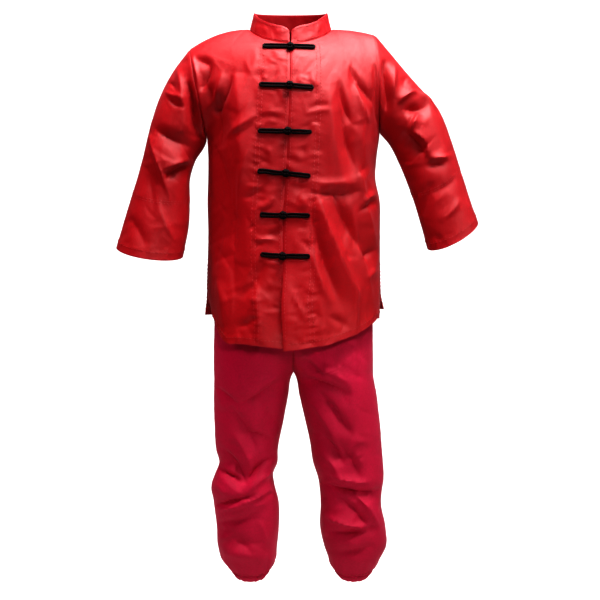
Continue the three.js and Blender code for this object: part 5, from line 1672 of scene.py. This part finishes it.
    def build(self) -> None:
        """Builds the halves and knots of all the frogs."""
        for k, frog in enumerate(self.rows, start=1):
            name = f"frog_{k}"
            knot, loop = self._knot_half(name, frog), self._loop_half(name, frog)
            for piece, node in ((knot, f"{name}_knot"), (loop, f"{name}_loop")):
                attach(piece, "root")
                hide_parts(node)
                LOG.info("%s: %d faces", piece.name, len(piece.data.polygons))


# The studio


@dataclass(frozen=True)
class Softbox:
    """A square soft light, in metres, watts and degrees."""

    name: str
    at: Triple
    aim: Triple
    size: float
    power: float
    glossy: bool = False  # whether it makes highlights
    spread: float = 180

    def build(self) -> None:
        """Adds the light."""
        data = bpy.data.lights.new(self.name, "AREA")
        data.size, data.energy, data.spread = self.size, self.power, math.radians(self.spread)
        light = bpy.data.objects.new(self.name, data)
        light.visible_glossy = self.glossy
        light.location = self.at
        light.rotation_euler = (Vector(self.aim) - Vector(self.at)).to_track_quat("-Z", "Y").to_euler()
        bpy.context.collection.objects.link(light)


@dataclass
class Studio:
    """Camera, soft lights, a pale floor and a white surround, in metres."""

    camera_at: Triple = (0.0114, -3.1, -0.473)
    lens: float = 106.3
    floor_z: float = -1.035
    floor_radius: float = 1.3
    fade_from: float = 1.12
    fade_to: float = 1.62
    surround: float = 0.06  # how strongly the white surround lights the outfit
    lights: tuple[Softbox, ...] = (
        Softbox("key", (0.6, -0.8, 1.3), (0.03, 0, -0.2), 0.45, 19, glossy=True),
        Softbox("overhead", (0.15, -0.22, 1.0), (0.02, 0, 0), 0.9, 25, glossy=True),
        Softbox("front", (0.35, -2.3, 0.55), (0.02, 0, -0.46), 0.5, 0.38, spread=22),
        Softbox("back", (-0.5, 2.2, 0.9), (0, 0, -0.4), 1.0, 22),
        Softbox("left", (-1.4, -0.1, 0.4), (0, 0, -0.3), 0.6, 7),
        Softbox("right", (1.6, -0.5, 0.1), (0, 0, -0.5), 0.8, 3),
    )

    def _floor(self) -> None:
        """Adds a pale round floor that fades out at its rim, with a painted glow on the strip behind the
        outfit.
        """
        bpy.ops.object.select_all(action="DESELECT")
        bpy.ops.mesh.primitive_circle_add(vertices=96, radius=self.floor_radius, fill_type="NGON",
                                          location=(0, 0, self.floor_z))
        floor = bpy.context.object
        floor.name = "floor"
        bpy.ops.object.transform_apply(location=True)
        material = bpy.data.materials.new("matt_white_paint")
        tree = cleared(material)
        place = add_node(tree, "TexCoord")
        far = add_node(tree, "VectorMath", {0: place.outputs["Object"]}, operation="LENGTH")
        fade = add_node(tree, "MapRange", {"Value": far.outputs["Value"], "From Min": self.fade_from,
                        "From Max": self.fade_to}, interpolation_type="SMOOTHSTEP")
        # Painted light: the strip that shows behind the outfit glows, as a lit sweep does, and the rest is
        # dimmer.
        spot = add_node(tree, "SeparateXYZ", {0: place.outputs["Object"]})
        glow = add_node(tree, "MapRange", {"Value": spot.outputs[1], "From Min": 0.1,
                        "From Max": 0.3, "To Min": 0.0, "To Max": 0.8})
        paint = add_node(tree, "BsdfPrincipled", {"Base Color": linear("#c4c2c2"), "Roughness": 0.9,
                         "Emission Color": linear("#ffffff"), "Emission Strength": glow})
        clear = add_node(tree, "BsdfTransparent")
        both = add_node(tree, "MixShader", {0: fade, 1: paint, 2: clear})
        add_node(tree, "OutputMaterial", {"Surface": both})
        floor.data.materials.append(material)

    def build(self) -> None:
        """Sets the studio up."""
        scene = bpy.context.scene
        data = bpy.data.cameras.new("camera")
        data.lens, data.sensor_width = self.lens, 36
        camera = bpy.data.objects.new("camera", data)
        camera.location, camera.rotation_euler = self.camera_at, (QUARTER, 0, 0)
        scene.collection.objects.link(camera)
        scene.camera = camera
        for light in self.lights:
            light.build()
        self._floor()
        world = bpy.data.worlds.new("white_surround")
        tree = cleared(world)
        seen = add_node(tree, "Background", {"Color": (1, 1, 1, 1), "Strength": 1.0})
        lit = add_node(tree, "Background", {"Color": (1, 1, 1, 1), "Strength": self.surround})
        path = add_node(tree, "LightPath")
        both = add_node(tree, "MixShader", {0: path.outputs["Is Camera Ray"], 1: lit, 2: seen})
        add_node(tree, "OutputWorld", {"Surface": both})
        scene.world = world
        scene.view_settings.view_transform = "Standard"
        scene.view_settings.look = "High Contrast"


def main() -> None:
    """Builds the uniform and the studio."""
    logging.basicConfig(level=logging.INFO, format="%(name)s: %(message)s")
    Studio().build()
    thread = RED_THREAD.make()
    jacket = Jacket(JACKET_TWILL.make(), Stitching(thread))
    jacket.build()
    Trousers(TROUSER_POPLIN.make(), Stitching(thread)).build()
    Frogs(BLACK_CORD.make(), jacket.fronts).build()


if __name__ == "__main__":
    main()
